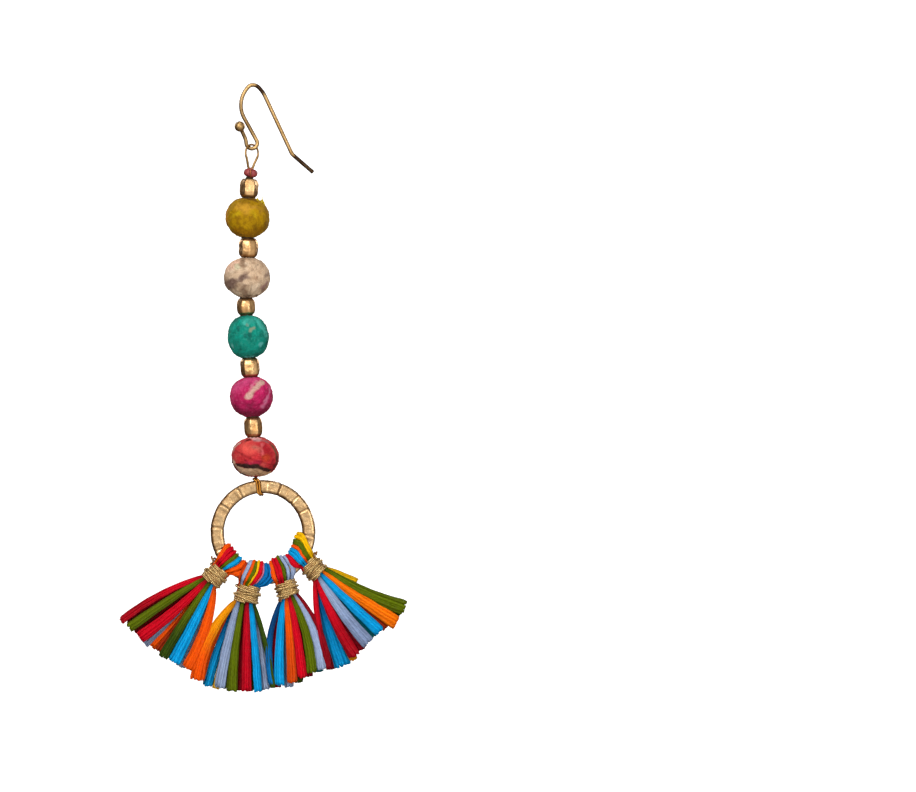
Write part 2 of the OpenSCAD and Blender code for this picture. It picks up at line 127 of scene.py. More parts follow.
# Tassels, from the ring's centre. Angles are from straight down, plus to the right: head from, head to,
# how far the head stands in from the ring, neck x, neck z, lean, width of the winding, its length from
# the neck's middle to the ring's side and to the cut ends' side
Tassel = namedtuple("Tassel", "head_from head_to crest neck_x neck_z lean width near far")
TASSELS = [Tassel(*row) for row in (
    (-72, -20, 1.2, -9.72, -8.84, -44, 4.3, 2.3, 1.65),
    (-30, 18, 2.1, -3.22, -12.66, -14, 4.8, 2.25, 1.55),
    (11, 46, 2.4, 4.87, -11.55, 17, 4.2, 1.95, 1.5),
    (41.5, 90, 1.6, 10.37, -7.45, 45, 4.2, 2.2, 1.65),
)]
# Strands folded over the ring, from the head's first angle on: colour, share of the width, how far it
# lies under its neighbours, and its bow to the right
HEADS = [
    [
        ("orange", 0.9, 0, 0), ("red", 1, 0, 0), ("red", 1, 0, 0), ("green", 1, 0, 0), ("cyan", 1.1, 0, 0),
        ("orange", 1.2, 0.4, 0.2), ("orange", 1.3, 1.1, 0.7),
    ],
    [
        ("rust", 0.9, 1, -0.3), ("lavender", 1.1, 0.2, -0.1), ("orange", 0.8, 0, 0), ("green", 1.1, 0, 0),
        ("yellow", 0.5, 0, 0.1), ("red", 1.3, 0, 0.25), ("pink", 0.3, 0.1, 0.4), ("blue", 1.2, 0.5, 0.6),
        ("blue", 0.8, 0.9, 0.95), ("blue", 1, 1.2, 1.3),
    ],
    [
        ("orange", 1.3, 0, -0.1), ("red", 1, 0, 0), ("red", 1, 0, 0), ("green", 0.9, 0, 0.1),
        ("lavender", 1, 0.35, 0.3), ("lavender", 1.5, 0.95, 0.6),
    ],
    [
        ("red", 1.3, 0, -0.35), ("cyan", 0.9, 0, 0), ("cyan", 0.9, 0, 0), ("orange", 0.9, 0, 0),
        ("green", 1.4, 0, 0), ("yellow", 0.9, 0, 0), ("yellow", 0.7, 0, 0),
    ],
]
# Cut strands: layer, colour at the neck and at the cut end, place across the neck, bow to the left,
# angle and reach of the cut end from the neck's centre, width there
FANS = [
    [
        (BACK, "red", "dark_red", -1.6, 0.5, -61, 19.6, 2.2),
        (BACK, "dark_red", "dark_red", -1.1, -0.2, -55, 19.3, 2.2),
        (BACK, "lavender", "lavender", -0.7, -0.4, -46, 19.4, 2.2),
        (BACK, "orange", "orange", -0.2, -0.3, -42, 18.8, 2.3),
        (BACK, "rust", "rust", 0.2, -0.1, -37.5, 18.7, 2.0),
        (BACK, "teal", "teal", 0.8, 0, -28, 18.6, 2.4),
        (BACK, "light_blue", "light_blue", 1.2, -0.35, -20.5, 19.3, 2.4),
        (FRONT, "red", "crimson", -1.75, 0.85, -64.5, 20.6, 1.8),
        (FRONT, "green", "green", -1.3, 0.2, -59, 19.8, 2.3),
        (FRONT, "red", "red", -0.6, -0.5, -51, 19.2, 2.8),
        (FRONT, "green", "dark_green", 0.2, 0.25, -32.5, 19.1, 2.3),
        (FRONT, "cyan", "cyan", 0.95, -0.15, -25, 18.8, 3.1),
        (FRONT, "orange", "orange", 1.65, -0.75, -15.5, 19.3, 3.0),
    ],
    [
        (BACK, "orange", "orange", -1.7, 1.0, -29, 19.2, 2.1),
        (BACK, "blue", "cyan", -1.5, 0.5, -23.5, 19.8, 2.3),
        (BACK, "yellow", "yellow", -1.0, 0.3, -18.5, 19.6, 1.7),
        (BACK, "dark_green", "dark_green", -0.4, 0.3, -12, 19.0, 2.3),
        (BACK, "dark_red", "dark_red", 0.2, 0.2, -4, 18.9, 2.2),
        (BACK, "dark_green", "dark_green", 0.9, 0, 4, 19.0, 2.2),
        (BACK, "light_blue", "light_blue", 1.5, -0.2, 11.5, 19.2, 2.6),
        (FRONT, "amber", "orange", -1.95, 1.45, -30.5, 19.5, 3.0),
        (FRONT, "lavender", "lavender", -1.35, 0.3, -16.4, 19.1, 2.6),
        (FRONT, "green", "green", -0.5, 0.45, -8.6, 19.3, 2.5),
        (FRONT, "deep_red", "deep_red", 0.45, 0.05, 0, 19.1, 2.4),
        (FRONT, "cyan", "cyan", 1.3, -0.1, 6.6, 19.3, 1.9),
        (FRONT, "dark_green", "dark_green", 1.95, -0.5, 15.9, 19.0, 1.3),
    ],
    [
        (BACK, "red", "dark_red", -1.35, 0.95, -6.3, 19.6, 2.6),
        (BACK, "lavender", "lavender", -0.7, 0.1, 1.0, 19.4, 2.2),
        (BACK, "dark_green", "dark_green", -0.1, -0.1, 7, 18.6, 2.2),
        (BACK, "dark_red", "dark_red", 0.4, -0.4, 14, 17.8, 2.2),
        (BACK, "teal", "teal", 0.9, -0.7, 21, 17.5, 2.2),
        (BACK, "dark_red", "dark_red", 1.4, -0.9, 29, 18.1, 1.9),
        (FRONT, "dark_blue", "blue", -1.75, 1.5, -9.0, 18.9, 1.6),
        (FRONT, "cyan", "cyan", -1.25, 0.4, -4.4, 19.0, 2.4),
        (FRONT, "orange", "burnt_orange", -0.7, -0.1, 3.1, 18.4, 2.3),
        (FRONT, "red", "red", -0.05, -0.3, 9.8, 17.7, 2.3),
        (FRONT, "green", "green", 0.6, -0.8, 16.8, 17.1, 2.5),
        (FRONT, "lavender", "lavender", 1.2, -1.0, 24, 17.2, 2.5),
        (FRONT, "dark_red", "dark_red", 1.7, -1.2, 28.6, 17.6, 1.2),
    ],
    [
        (BACK, "blue", "cyan", -1.5, 0.25, 16.2, 20.1, 4.0),
        (BACK, "amber", "amber", -1.0, 0.3, 23.5, 19.7, 2.0),
        (BACK, "dark_red", "dark_red", -0.4, 0.4, 31, 18.6, 2.3),
        (BACK, "teal", "teal", 0.1, 0.2, 41, 18.0, 2.2),
        (BACK, "rust", "rust", 0.6, 0, 51, 18.4, 2.3),
        (BACK, "green", "dark_green", 1.1, 0.5, 62, 19.2, 2.5),
        (BACK, "yellow", "yellow", 1.9, -0.1, 73, 8.6, 1.7),
        (FRONT, "red", "dark_red", -1.75, 0.7, 8.2, 20.1, 1.6),
        (FRONT, "red", "crimson", -1.2, 0.45, 25, 19.1, 2.9),
        (FRONT, "lavender", "pale_blue", -0.5, 0.45, 36, 18.1, 3.1),
        (FRONT, "cyan", "cyan", 0.2, 0.05, 46, 18.0, 2.5),
        (FRONT, "bright_orange", "bright_orange", 0.9, 0.1, 57, 19.5, 3.2),
        (FRONT, "green", "green", 1.6, 0.7, 67.3, 19.5, 3.4),
    ],
]
# Room between ring and floss, thickness of the folded floss, and the binding's thread and half depth
RING_CLEAR = 0.14
STRAND_T = 0.85
THREAD_R = 0.2
WIND_Y = 1.65
WIND_PITCH = 0.37
# Rings of points along a head strand and along a cut strand, threads in one of full width and in a thin
# one, a cut strand's half thickness where it is pressed, and its loose fibres
HEAD_RINGS = 48
FAN_RINGS = 30
HEAD_THREADS, THIN_HEAD_THREADS = 9, 5
FAN_THREADS, THIN_FAN_THREADS = 15, 10
PRESSED_R = 0.42
STRAND_HAIRS = 14

# Camera: level, straight on, with the object in the left half of the frame as in the picture
SIGHT = (41.1, -61.8)
CAMERA_AWAY = 1200
FRAME_WIDTH = 183.2
SENSOR = 36


# Vectors and curves

def unit(v):
    """Vectors over their own lengths."""
    return v / np.linalg.norm(v, axis=-1, keepdims=True)


def blend(a, b, share):
    """a at share 0, b at share 1, straight in between."""
    return a + (b - a) * share


def step(low, high, value):
    """0 below low, 1 above high, and the cubic 3t^2 - 2t^3 in between."""
    t = np.clip((value - low) / (high - low), 0, 1)
    return t * t * (3 - 2 * t)


def paint(colour):
    """Linear red, green and blue of a colour given from 0 to 255, by the sRGB curve."""
    c = np.array(COLOURS[colour] if isinstance(colour, str) else colour) / 255
    return np.where(c <= 0.04045, c / 12.92, ((c + 0.055) / 1.055) ** 2.4)


def down(angle):
    """Direction in the ring's plane, at an angle in degrees from straight down, plus to the right."""
    a = np.radians(angle)
    return np.stack([np.sin(a), np.zeros_like(a), -np.cos(a)], -1)


def across(angle):
    """Direction at right angles to down(angle), to the right of it."""
    a = np.radians(angle)
    return np.stack([np.cos(a), np.zeros_like(a), np.sin(a)], -1)


def through(points, count):
    """Smooth curves through points (..., keys, 3): cubics whose slope at a key is half the chord between
    its neighbours, sampled at count places."""
    keys = points.shape[-2]
    before = 2 * points[..., :1, :] - points[..., 1:2, :]
    after = 2 * points[..., -1:, :] - points[..., -2:-1, :]
    padded = np.concatenate([before, points, after], -2)
    at = np.linspace(0, keys - 1, count)
    i = np.minimum(at.astype(int), keys - 2)
    t = (at - i)[:, None]
    a, b, c, d = (padded[..., i + k, :] for k in range(4))
    square, cube = 2 * a - 5 * b + 4 * c - d, 3 * b - a - 3 * c + d
    return 0.5 * (2 * b + (c - a) * t + square * t ** 2 + cube * t ** 3)


def lengths(path):
    """Length along paths (..., points, 3), from 0 at the first point."""
    steps = np.linalg.norm(np.diff(path, axis=-2), axis=-1)
    return np.concatenate([np.zeros_like(steps[..., :1]), np.cumsum(steps, -1)], -1)


def frames(path, reference):
    """Side and up directions of a path: the side is the reference less its part along the path, and up
    is the path's direction crossed with the side."""
    ahead = unit(np.gradient(path, axis=-2))
    side = unit(reference - (reference * ahead).sum(-1, keepdims=True) * ahead)
    return side, np.cross(ahead, side)


def tube(path, reference, radius, sides, groove=0.0, lay=1.0):
    """Points round a path: path + r (cos a side + sin a up). With a groove, as between two twisted plies,
    r swells and sinks by it with the cosine of 2a, and the angle turns once for each lay of length."""
    side, up = (way[..., None, :] for way in frames(path, reference))
    a = np.arange(sides) * 2 * math.pi / sides
    radius = np.broadcast_to(radius, path.shape[:-1])[..., None]
    if groove:
        turned = a - lengths(path)[..., None] * 2 * math.pi / lay
        radius = radius * (1 + groove * np.cos(2 * turned))
    middle = path[..., None, :]
    return middle + (radius * np.cos(a))[..., None] * side + (radius * np.sin(a))[..., None] * up


def closed_tube(path, radius, sides=8):
    """Points round a closed path whose ends meet, path + r (cos a out + sin a up), where out points away
    from the path's middle."""
    ahead = unit(np.roll(path, -1, 0) - np.roll(path, 1, 0))
    out = unit(path - path.mean(0))
    up = np.cross(ahead, out)
    a = np.arange(sides) * 2 * math.pi / sides
    return path[:, None] + radius * (np.cos(a)[:, None] * out[:, None] + np.sin(a)[:, None] * up[:, None])


def noise(points, scale, seed):
    """Smooth random values from -1 to 1: random numbers on the corners of a lattice, blended with the
    cubic 3t^2 - 2t^3 along each axis."""
    size = 24
    table = np.random.default_rng(seed).uniform(-1, 1, (size,) * 3)
    p = points * scale
    low = np.floor(p).astype(int)
    t = step(0, 1, p - low)
    value = 0
    for corner in range(8):
        on = np.array([corner & 1, corner >> 1 & 1, corner >> 2 & 1])
        weight = np.where(on, t, 1 - t).prod(-1)
        cell = (low + on) % size
        value = value + weight * table[cell[..., 0], cell[..., 1], cell[..., 2]]
    return value


def bent_wire(start, heading, side, runs):
    """Straight runs and round bends, one after another. A run adds its length along the heading, and a
    bend of radius r adds r (sin a heading + (1 - cos a) side). First the side is rolled about the
    heading."""
    place, heading, side = (np.array(v, float) for v in (start, heading, side))
    path = []
    for run, radius, turn, roll in runs:
        roll = math.radians(roll)
        side = math.cos(roll) * side + math.sin(roll) * np.cross(heading, side)
        if run:
            path.append(place + np.linspace(0, run, int(run / 0.5) + 2)[1:, None] * heading)
        place = place + run * heading
        inward = side if turn > 0 else -side
        a = np.radians(np.linspace(0, abs(turn), int(abs(turn) / BEND_STEP) + 1))[1:, None]
        if len(a):
            path.append(place + radius * (np.sin(a) * heading + (1 - np.cos(a)) * inward))
            place = path[-1][-1]
            ahead = np.cos(a[-1]) * heading + np.sin(a[-1]) * inward
            inward = np.cos(a[-1]) * inward - np.sin(a[-1]) * heading
            heading, side = ahead, inward if turn > 0 else -inward
    return np.concatenate(path)


# Meshes

class Skin:
    """Collects grids of points into one mesh, with a map in turns and millimetres and values at points."""

    def __init__(self):
        self.points, self.corners, self.sizes, self.maps, self.tints, self.wear_and_shade_values = ([] for _ in range(6))
        self.count = 0

    def add(self, grid, closed=(False, True), uv=None, tint=(1, 1, 1), wear=0.0):
        """Joins neighbours of a grid, or of a batch of grids, (..., rows, columns, 3) by quads. Each axis
        may be closed into a ring. Open tubes get a flat cap at both ends."""
        rows, cols = grid.shape[-3:-1]
        grid = grid.reshape(-1, rows, cols, 3)
        batch = len(grid)
        i, j = np.arange(rows - (not closed[0])), np.arange(cols - (not closed[1]))
        index = self.count + np.arange(batch * rows * cols).reshape(batch, rows, cols)
        next_i, next_j = (i + 1) % rows, (j + 1) % cols
        a, b = index[:, i][:, :, j], index[:, i][:, :, next_j]
        c, d = index[:, next_i][:, :, next_j], index[:, next_i][:, :, j]
        if uv is None:
            along = lengths(grid[:, :, 0])
            if closed[0]:
                along = np.concatenate([along, along[:, -1:] * rows / (rows - 1)], 1)
            turns = np.arange(cols + closed[1]) / cols
            uv = np.stack(np.broadcast_arrays(turns, along[..., None]), -1)
        uv = np.broadcast_to(uv, (batch,) + uv.shape[-3:])
        here, beyond = uv[:, i], uv[:, i + 1]
        quad_uv = [here[:, :, j], here[:, :, j + 1], beyond[:, :, j + 1], beyond[:, :, j]]
        self.corners.append(np.stack([a, b, c, d], -1).ravel())
        self.maps.append(np.stack(quad_uv, -2).reshape(-1, 2))
        self.sizes.append(np.full(a.size, 4))
        if closed == (False, True):
            for row, order in ((0, slice(None, None, -1)), (-1, slice(None))):
                self.corners.append(index[:, row, order].ravel())
                self.maps.append(uv[:, row, :cols][:, order].reshape(-1, 2))
                self.sizes.append(np.full(batch, cols))
        self.points.append(grid.reshape(-1, 3))
        self.tints.append(np.broadcast_to(tint, grid.shape).reshape(-1, 3))
        self.wear_and_shade_values.append(np.broadcast_to(wear, grid.shape[:-1]).ravel())
        self.count += batch * rows * cols

    def make_object(self, name, finish):
        """Makes the mesh object and gives it its finish."""
        mesh = bpy.data.meshes.new(name)
        corners, sizes = np.concatenate(self.corners), np.concatenate(self.sizes)
        mesh.vertices.add(self.count)
        mesh.vertices.foreach_set("co", (np.concatenate(self.points) * MM).ravel())
        mesh.loops.add(len(corners))
        mesh.loops.foreach_set("vertex_index", corners)
        mesh.polygons.add(len(sizes))
        mesh.polygons.foreach_set("loop_start", np.cumsum(sizes) - sizes)
        mesh.update(calc_edges=True)
        mesh.uv_layers.new(name="surface").data.foreach_set("uv", np.concatenate(self.maps).ravel())
        tint = np.concatenate([np.concatenate(self.tints), np.ones((self.count, 1))], 1)
        mesh.attributes.new("tint", "FLOAT_COLOR", "POINT").data.foreach_set("color", tint.ravel())
        # Share of brown at each point: wear, tarnish and patina, painted shade and painted dark reflections;
        # on floss it is a random number per thread.
        wear = np.concatenate(self.wear_and_shade_values)
        mesh.attributes.new("wear", "FLOAT", "POINT").data.foreach_set("value", wear)
        mesh.shade_smooth()
        mesh.validate()
        mesh.materials.append(finish)
        thing = bpy.data.objects.new(name, mesh)
        bpy.context.scene.collection.objects.link(thing)
        return thing

    def piece(self, name, finish, slot, *nodes, body="drop"):
        """Makes the mesh object, ties it to its body and hides the nodes it stands for. The slot is not
        used.
        """
        thing = self.make_object(name, finish)
        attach(thing, body)
        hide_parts(*nodes)


# Materials

class Value:
    """An output socket that takes part in Python sums: each operator adds its Math node."""

    def __init__(self, finish, socket):
        self.finish, self.socket = finish, socket

    def math(self, operation, *values):
        return self.finish.add("ShaderNodeMath", {"operation": operation}, dict(enumerate(values)))

    def __add__(self, other):
        return self.math("ADD", self, other)

    def __radd__(self, other):
        return self.math("ADD", other, self)

    def __sub__(self, other):
        return self.math("SUBTRACT", self, other)

    def __rsub__(self, other):
        return self.math("SUBTRACT", other, self)

    def __mul__(self, other):
        return self.math("MULTIPLY", self, other)

    def __rmul__(self, other):
        return self.math("MULTIPLY", other, self)

    def __truediv__(self, other):
        return self.math("DIVIDE", self, other)

    def wave(self):
        """Sine of the value."""
        return self.math("SINE", self)

    def between(self, low, high):
        """0 below low, 1 above high, straight in between."""
        return self.finish.add(
            "ShaderNodeMapRange", {"clamp": True}, {"Value": self, "From Min": low, "From Max": high}
        )


class Finish:
    """Node tree of one material or of the world."""

    def __init__(self, name, owner=None):
        self.owner = owner or bpy.data.materials.new(name)
        self.owner.use_nodes = True
        self.tree = self.owner.node_tree
        self.tree.nodes.clear()

    def add(self, kind, settings=None, sockets=None, out=0):
        """Adds a node: first its settings, then the values or links of its sockets by name or number."""
        node = self.tree.nodes.new(kind)
        for key, value in (settings or {}).items():
            setattr(node, key, value)
        for key, value in (sockets or {}).items():
            if isinstance(value, Value):
                self.tree.links.new(value.socket, node.inputs[key])
            else:
                node.inputs[key].default_value = value
        return Value(self, node.outputs[out]) if node.outputs else node

    def place(self, scale=(1, 1, 1), turn=(0, 0, 0)):
        """Object coordinates in millimetres, turned and stretched."""
        own = self.add("ShaderNodeTexCoord", out="Object")
        size = tuple(s / MM for s in scale)
        return self.add("ShaderNodeMapping", {}, {"Vector": own, "Rotation": turn, "Scale": size})

    def surface_map(self):
        """The piece's own map: turns round a tube, or millimetres across, and millimetres along."""
        return self.parts(self.add("ShaderNodeUVMap", {"uv_map": "surface"}))[:2]

    def parts(self, vector):
        """The three numbers of a vector."""
        node = self.add("ShaderNodeSeparateXYZ", {}, {0: vector}).socket.node
        return [Value(self, socket) for socket in node.outputs]

    def attribute(self, name, out="Fac"):
        return self.add("ShaderNodeAttribute", {"attribute_name": name}, out=out)

    def noise(self, vector, scale, detail=3, roughness=0.5):
        sockets = {"Vector": vector, "Scale": scale, "Detail": detail, "Roughness": roughness}
        return self.add("ShaderNodeTexNoise", {}, sockets)

    def mix(self, share, a, b, kind="MIX"):
        """Colour a at share 0, b at share 1."""
        settings = {"data_type": "RGBA", "blend_type": kind, "clamp_factor": True}
        sockets = {0: share, 6: colour_value(a), 7: colour_value(b)}
        return self.add("ShaderNodeMix", settings, sockets, 2)

    def shade(self, share, base, colour):
        """The base, and at share 1 the base times a colour."""
        return self.mix(share, base, self.mix(1.0, base, colour, "MULTIPLY"))

    def bump(self, height, reach, strength=1.0, normal=None):
        """Bump of a height in shares of a reach in millimetres."""
        sockets = {"Height": height, "Distance": reach * MM, "Strength": strength}
        if normal:
            sockets["Normal"] = normal
        return self.add("ShaderNodeBump", {}, sockets)

    def shine(self, **sockets):
        """Closes the tree with the surface shader and returns the material."""
        sockets = {key.replace("_", " "): colour_value(value) for key, value in sockets.items()}
        shader = self.add("ShaderNodeBsdfPrincipled", {}, sockets)
        self.add("ShaderNodeOutputMaterial", {}, {"Surface": shader})
        return self.owner


def colour_value(value):
    """A link or number as it is, and a colour from 0 to 255 as linear with alpha."""
    if isinstance(value, (Value, int, float)):
        return value
    return (*paint(value), 1)


def gold(name, pale, deep, rough, grain, stretch=(1, 1, 1)):
    """Gold plate: a warm base with duller clouds, brown where tarnished and as painted shade and painted
    dark reflections, fine handling marks and softly uneven gloss."""
    f = Finish(name)
    at = f.place(stretch)
    clouds = f.noise(at, 0.7, 4)
    marks = f.noise(at, 6, 5, 0.65)
    base = f.mix(clouds.between(0.35, 0.7), pale, deep)
    # Dark brown by the piece's per-point share: tarnish, painted shade and painted dark reflections.
    base = f.mix(f.attribute("wear") * (0.8 + clouds * 0.3), base, (54, 36, 26))
    gloss = rough + clouds * 0.12 + marks.between(0.45, 0.8) * 0.18
    return f.shine(Base_Color=base, Metallic=1.0, Roughness=gloss, Normal=f.bump(marks, grain, 0.6))


def ring_gold():
    """Antique gold, hammered: small dimples, brown patina in the hollows, pale on the crowns, and brown
    painted shade along the band's edges, strongest on those that face left.
    """
    f = Finish("ring_gold")
    at = f.place()
    cells = {"Vector": at, "Scale": 1.3, "Smoothness": 0.7}
    dimples = f.add("ShaderNodeTexVoronoi", {"feature": "SMOOTH_F1"}, cells)
    scratch = f.noise(f.place((3, 3, 9), (0.3, 0.2, 0.7)), 1.4, 4, 0.7)
    clouds = f.noise(at, 0.9, 5, 0.6)
    patina_and_shade = f.attribute("wear")
    base = f.mix(clouds.between(0.3, 0.75), (208, 176, 131), (170, 132, 88))
    # Brown: patina in the grooves and dimples, and painted shade along the band's edges.
    base = f.mix(patina_and_shade.between(0.1, 0.85) * (0.6 + clouds * 0.5), base, (86, 54, 24))
    height = dimples * 0.7 + scratch * 0.3
    gloss = 0.24 + clouds * 0.16 + patina_and_shade * 0.2
    return f.shine(Base_Color=base, Metallic=1.0, Roughness=gloss, Normal=f.bump(height, 0.06, 0.7))


def cloth(name, thread, dust):
    """Plain-woven cotton of a thread's width: two sets of threads that pass over and under each other,
    with threads faded to dust and fibre fuzz over the printed colour."""
    f = Finish(name)
    u, v = f.surface_map()
    at = f.place()
    drift = f.noise(at, 0.8, 2)
    warp, weft = ((way * (2 * math.pi / thread) + drift * 3).wave() for way in (u, v))
    weave = warp * weft * 0.5 + 0.5
    fibre = f.noise(at, 5, 6, 0.7)
    stain = f.noise(at, 0.55, 5, 0.62)
    speck = f.noise(at, 1.7, 4, 0.7)
    base = f.mix(fibre.between(0.4, 0.75) * 0.08, f.attribute("tint", "Color"), dust)
    base = f.shade(stain.between(0.35, 0.75) * 0.35, base, (170, 150, 140))
    base = f.shade(speck.between(0.5, 0.3) * 0.4, base, (130, 110, 100))
    base = f.mix(speck.between(0.55, 0.75) * 0.2, base, dust)
    # Painted shade between the threads, where the weave dips.
    base = f.shade(weave.between(0.55, 0) * 0.3, base, (90, 80, 75))
    return f.shine(
        Base_Color=base, Roughness=0.62 + fibre * 0.3, Specular_IOR_Level=0.1, Sheen_Weight=0.02,
        Sheen_Roughness=0.4, Normal=f.bump(weave, 0.05, 0.5, f.bump(fibre, 0.12, 0.5))
    )


def floss():
    """Stranded cotton: each strand carries its own dye, with painted shade between its two plies, loose
    fibres and a soft lengthwise painted sheen."""
    f = Finish("floss")
    u, v = f.surface_map()
    at = f.place()
    fibre = f.noise(at, 7, 5, 0.7)
    ply = (u * (4 * math.pi) + v * (2 * math.pi / 1.1) + fibre * 1.5).wave() * 0.5 + 0.5
    hairs = f.add("ShaderNodeCombineXYZ", {}, {0: u * 9, 1: v * 0.7, 2: f.attribute("wear") * 20})
    streak = f.noise(hairs, 1.6, 4, 0.65)
    dye = f.attribute("tint", "Color")
    clouds = f.noise(at, 0.5, 3)
    base = f.shade(clouds.between(0.35, 0.7) * 0.4, dye, (215, 205, 205))
    # Painted sheen: pale lengthwise streaks.
    base = f.mix(streak.between(0.55, 0.8) * 0.04, base, (255, 236, 220))
    # Painted shade between the two plies.
    base = f.shade(ply.between(0.4, 0.0) * 0.2, base, (150, 120, 124))
    normal = f.bump(ply, 0.03, 0.4, f.bump(streak, 0.05, 0.6))
    return f.shine(Base_Color=base, Roughness=0.5 + streak * 0.3, Normal=normal, Specular_IOR_Level=0.06)


def gold_thread():
    """Metal-wrapped thread: a flat gilt strip wound round a core, so fine bands cross it. It is brown
    where worn."""
    f = Finish("gold_thread")
    u, v = f.surface_map()
    fibre = f.noise(f.place(), 4, 5, 0.7)
    bands = (v * (2 * math.pi / 0.3) + u * (2 * math.pi) + fibre * 2).wave() * 0.5 + 0.5
    base = f.mix(fibre.between(0.35, 0.7), (250, 218, 152), (150, 112, 56))
    base = f.mix(bands.between(0.4, 0), base, (96, 62, 20))
    base = f.mix(f.attribute("wear").between(0.8, 1.0) * 0.75, base, (110, 54, 18))
    gloss = 0.3 + fibre * 0.25
    return f.shine(Base_Color=base, Metallic=0.75, Roughness=gloss, Normal=f.bump(bands, 0.06, 0.7))


def dull(name, base_colour, mottle, rough=0.6):
    """Dull dyed surface with darker mottling and a slightly grained skin."""
    f = Finish(name)
    at = f.place()
    clouds = f.noise(at, 1.6, 5, 0.6)
    grain = f.noise(at, 9, 4, 0.7)
    base = f.mix(clouds.between(0.35, 0.68), base_colour, mottle)
    return f.shine(Base_Color=base, Roughness=rough + grain * 0.2, Normal=f.bump(grain, 0.06, 0.6))


# Ear wire

def ear_hook(finish):
    """Round wire along its bends. The radius is the wire's, then follows the ball's circle at the short end,
    and a quarter circle at the tail's tip. The tail and the crown are darkened brown as painted dark
    reflections, and the leg down to the loop as painted shade."""
    back = bent_wire(ARCH_TOP, -RIGHT, -UP, BACK_RUNS)
    front = bent_wire(ARCH_TOP, RIGHT, UP, FRONT_RUNS)
    wire = np.concatenate([back[::-1], [ARCH_TOP], front])
    foot = math.asin(WIRE_R / BALL_R)
    a = np.linspace(math.pi - 0.04, foot, 26)[:-1]
    ball = wire[0] + (BALL_R * (math.cos(foot) - np.cos(a)))[:, None] * unit(wire[0] - wire[1])
    tip_a = np.linspace(0, math.pi / 2 - 0.15, 7)[1:]
    tip_r = WIRE_R * 0.5
    tip = wire[-1] + (tip_r * np.sin(tip_a))[:, None] * unit(wire[-1] - wire[-2])
    path = np.concatenate([ball, wire, tip])
    radius = [BALL_R * np.sin(a), np.full(len(wire), WIRE_R), WIRE_R - tip_r * (1 - np.cos(tip_a))]
    x, z = path[:, 0], path[:, 2]
    # Painted dark reflections on the tail and the crown, and painted shade on the leg down to the loop, all
    # as brown in the gold.
    tail_painted_reflection = step(8.0, 8.5, x)
    arch_painted_reflection = step(0.4, 0.9, x) * step(2.6, 2.0, x) * step(-2.6, -2.0, z)
    leg_painted_shade = 0.42 * step(0.6, 0, x) * step(-1.0, -4.0, z)
    leg_painted_shade[:len(ball) + 1] = 0
    skin = Skin()
    skin.add(tube(path, BEHIND, np.concatenate(radius), 28), wear=(tail_painted_reflection + arch_painted_reflection + leg_painted_shade)[:, None])
    skin.piece("ear_hook_wire", finish, "ear_wire_gold", "ear_hook", body="ear_hook")


# String of beads

def bead_place(i):
    """A bead's centre: below the heights and gaps of the beads above it."""
    top = STRING_TOP - sum(bead.height + bead.gap for bead in BEADS[:i]) - BEADS[i].gap
    return np.array([BEADS[i].x, 0, top - BEADS[i].height / 2])


def string_route():
    """Points of the doubled wire: where the loop's legs meet, the beads' centres and the last bead's
    foot."""
    start = (LOOP_CENTRE[0], 0, LEGS_MEET_Z)
    end = (STRING_END_X, 0, bead_place(RED)[2] - BEADS[RED].height / 2)
    return np.array([start, *(bead_place(i) for i in range(len(BEADS))), end])


def on_string(i, points):
    """Leans points about the y axis with the wire's direction at bead i, and moves them to its centre."""
    route = string_route()
    along = route[i + 2] - route[i]
    lean = math.atan2(along[0], -along[2])
    x, y, z = np.moveaxis(points, -1, 0)
    turned = [x * math.cos(lean) - z * math.sin(lean), y, x * math.sin(lean) + z * math.cos(lean)]
    return np.stack(turned, -1) + bead_place(i)


def bead_profile(bead, rows):
    """Half outline of a full round bead from its top rim to its bottom rim, r = w/2 sin^(2/full) a and
    z = h/2 cos^(2/full) a, then back up the bore."""
    start = math.asin((2 * BORE_R / bead.width) ** (bead.full / 2))
    a = np.linspace(start, math.pi - start, rows)
    r = bead.width / 2 * np.sin(a) ** (2 / bead.full)
    z = bead.height / 2 * np.sign(np.cos(a)) * np.abs(np.cos(a)) ** (2 / bead.full)
    bore_z = np.linspace(z[-1], z[0], 8)[1:-1]
    return np.concatenate([r, np.full(len(bore_z), BORE_R)]), np.concatenate([z, bore_z])


def turn_profile(r, z, cols):
    """Points (r cos b, r sin b, z) of a profile turned about the z axis, first column at the front. The
    radius may change from column to column."""
    b = np.arange(cols) * 2 * math.pi / cols - math.pi / 2
    r = r if r.ndim > 1 else r[:, None]
    return np.stack(np.broadcast_arrays(r * np.cos(b), r * np.sin(b), z[:, None]), -1)


def facing(x, z):
    """Direction of the place on a unit ball that shows at x, z from the front."""
    return np.array([x, -math.sqrt(max(0.0, 1 - x * x - z * z)), z])


def stroke(way, ends, half_width, soft, ragged, seed):
    """1 within half_width of the arc between two places of the unit ball, 0 outside it, with a ragged
    edge: the arc's nearest place is that of the chord, pushed out to the ball."""
    a, b = (facing(*end) for end in ends)
    span = b - a
    t = np.clip(((way - a) @ span) / max(span @ span, 1e-6), 0, 1)[..., None]
    away = np.linalg.norm(way - unit(a + t * span), axis=-1) + ragged * noise(way, 5, seed)
    return 1 - step(half_width - soft, half_width + soft, away)
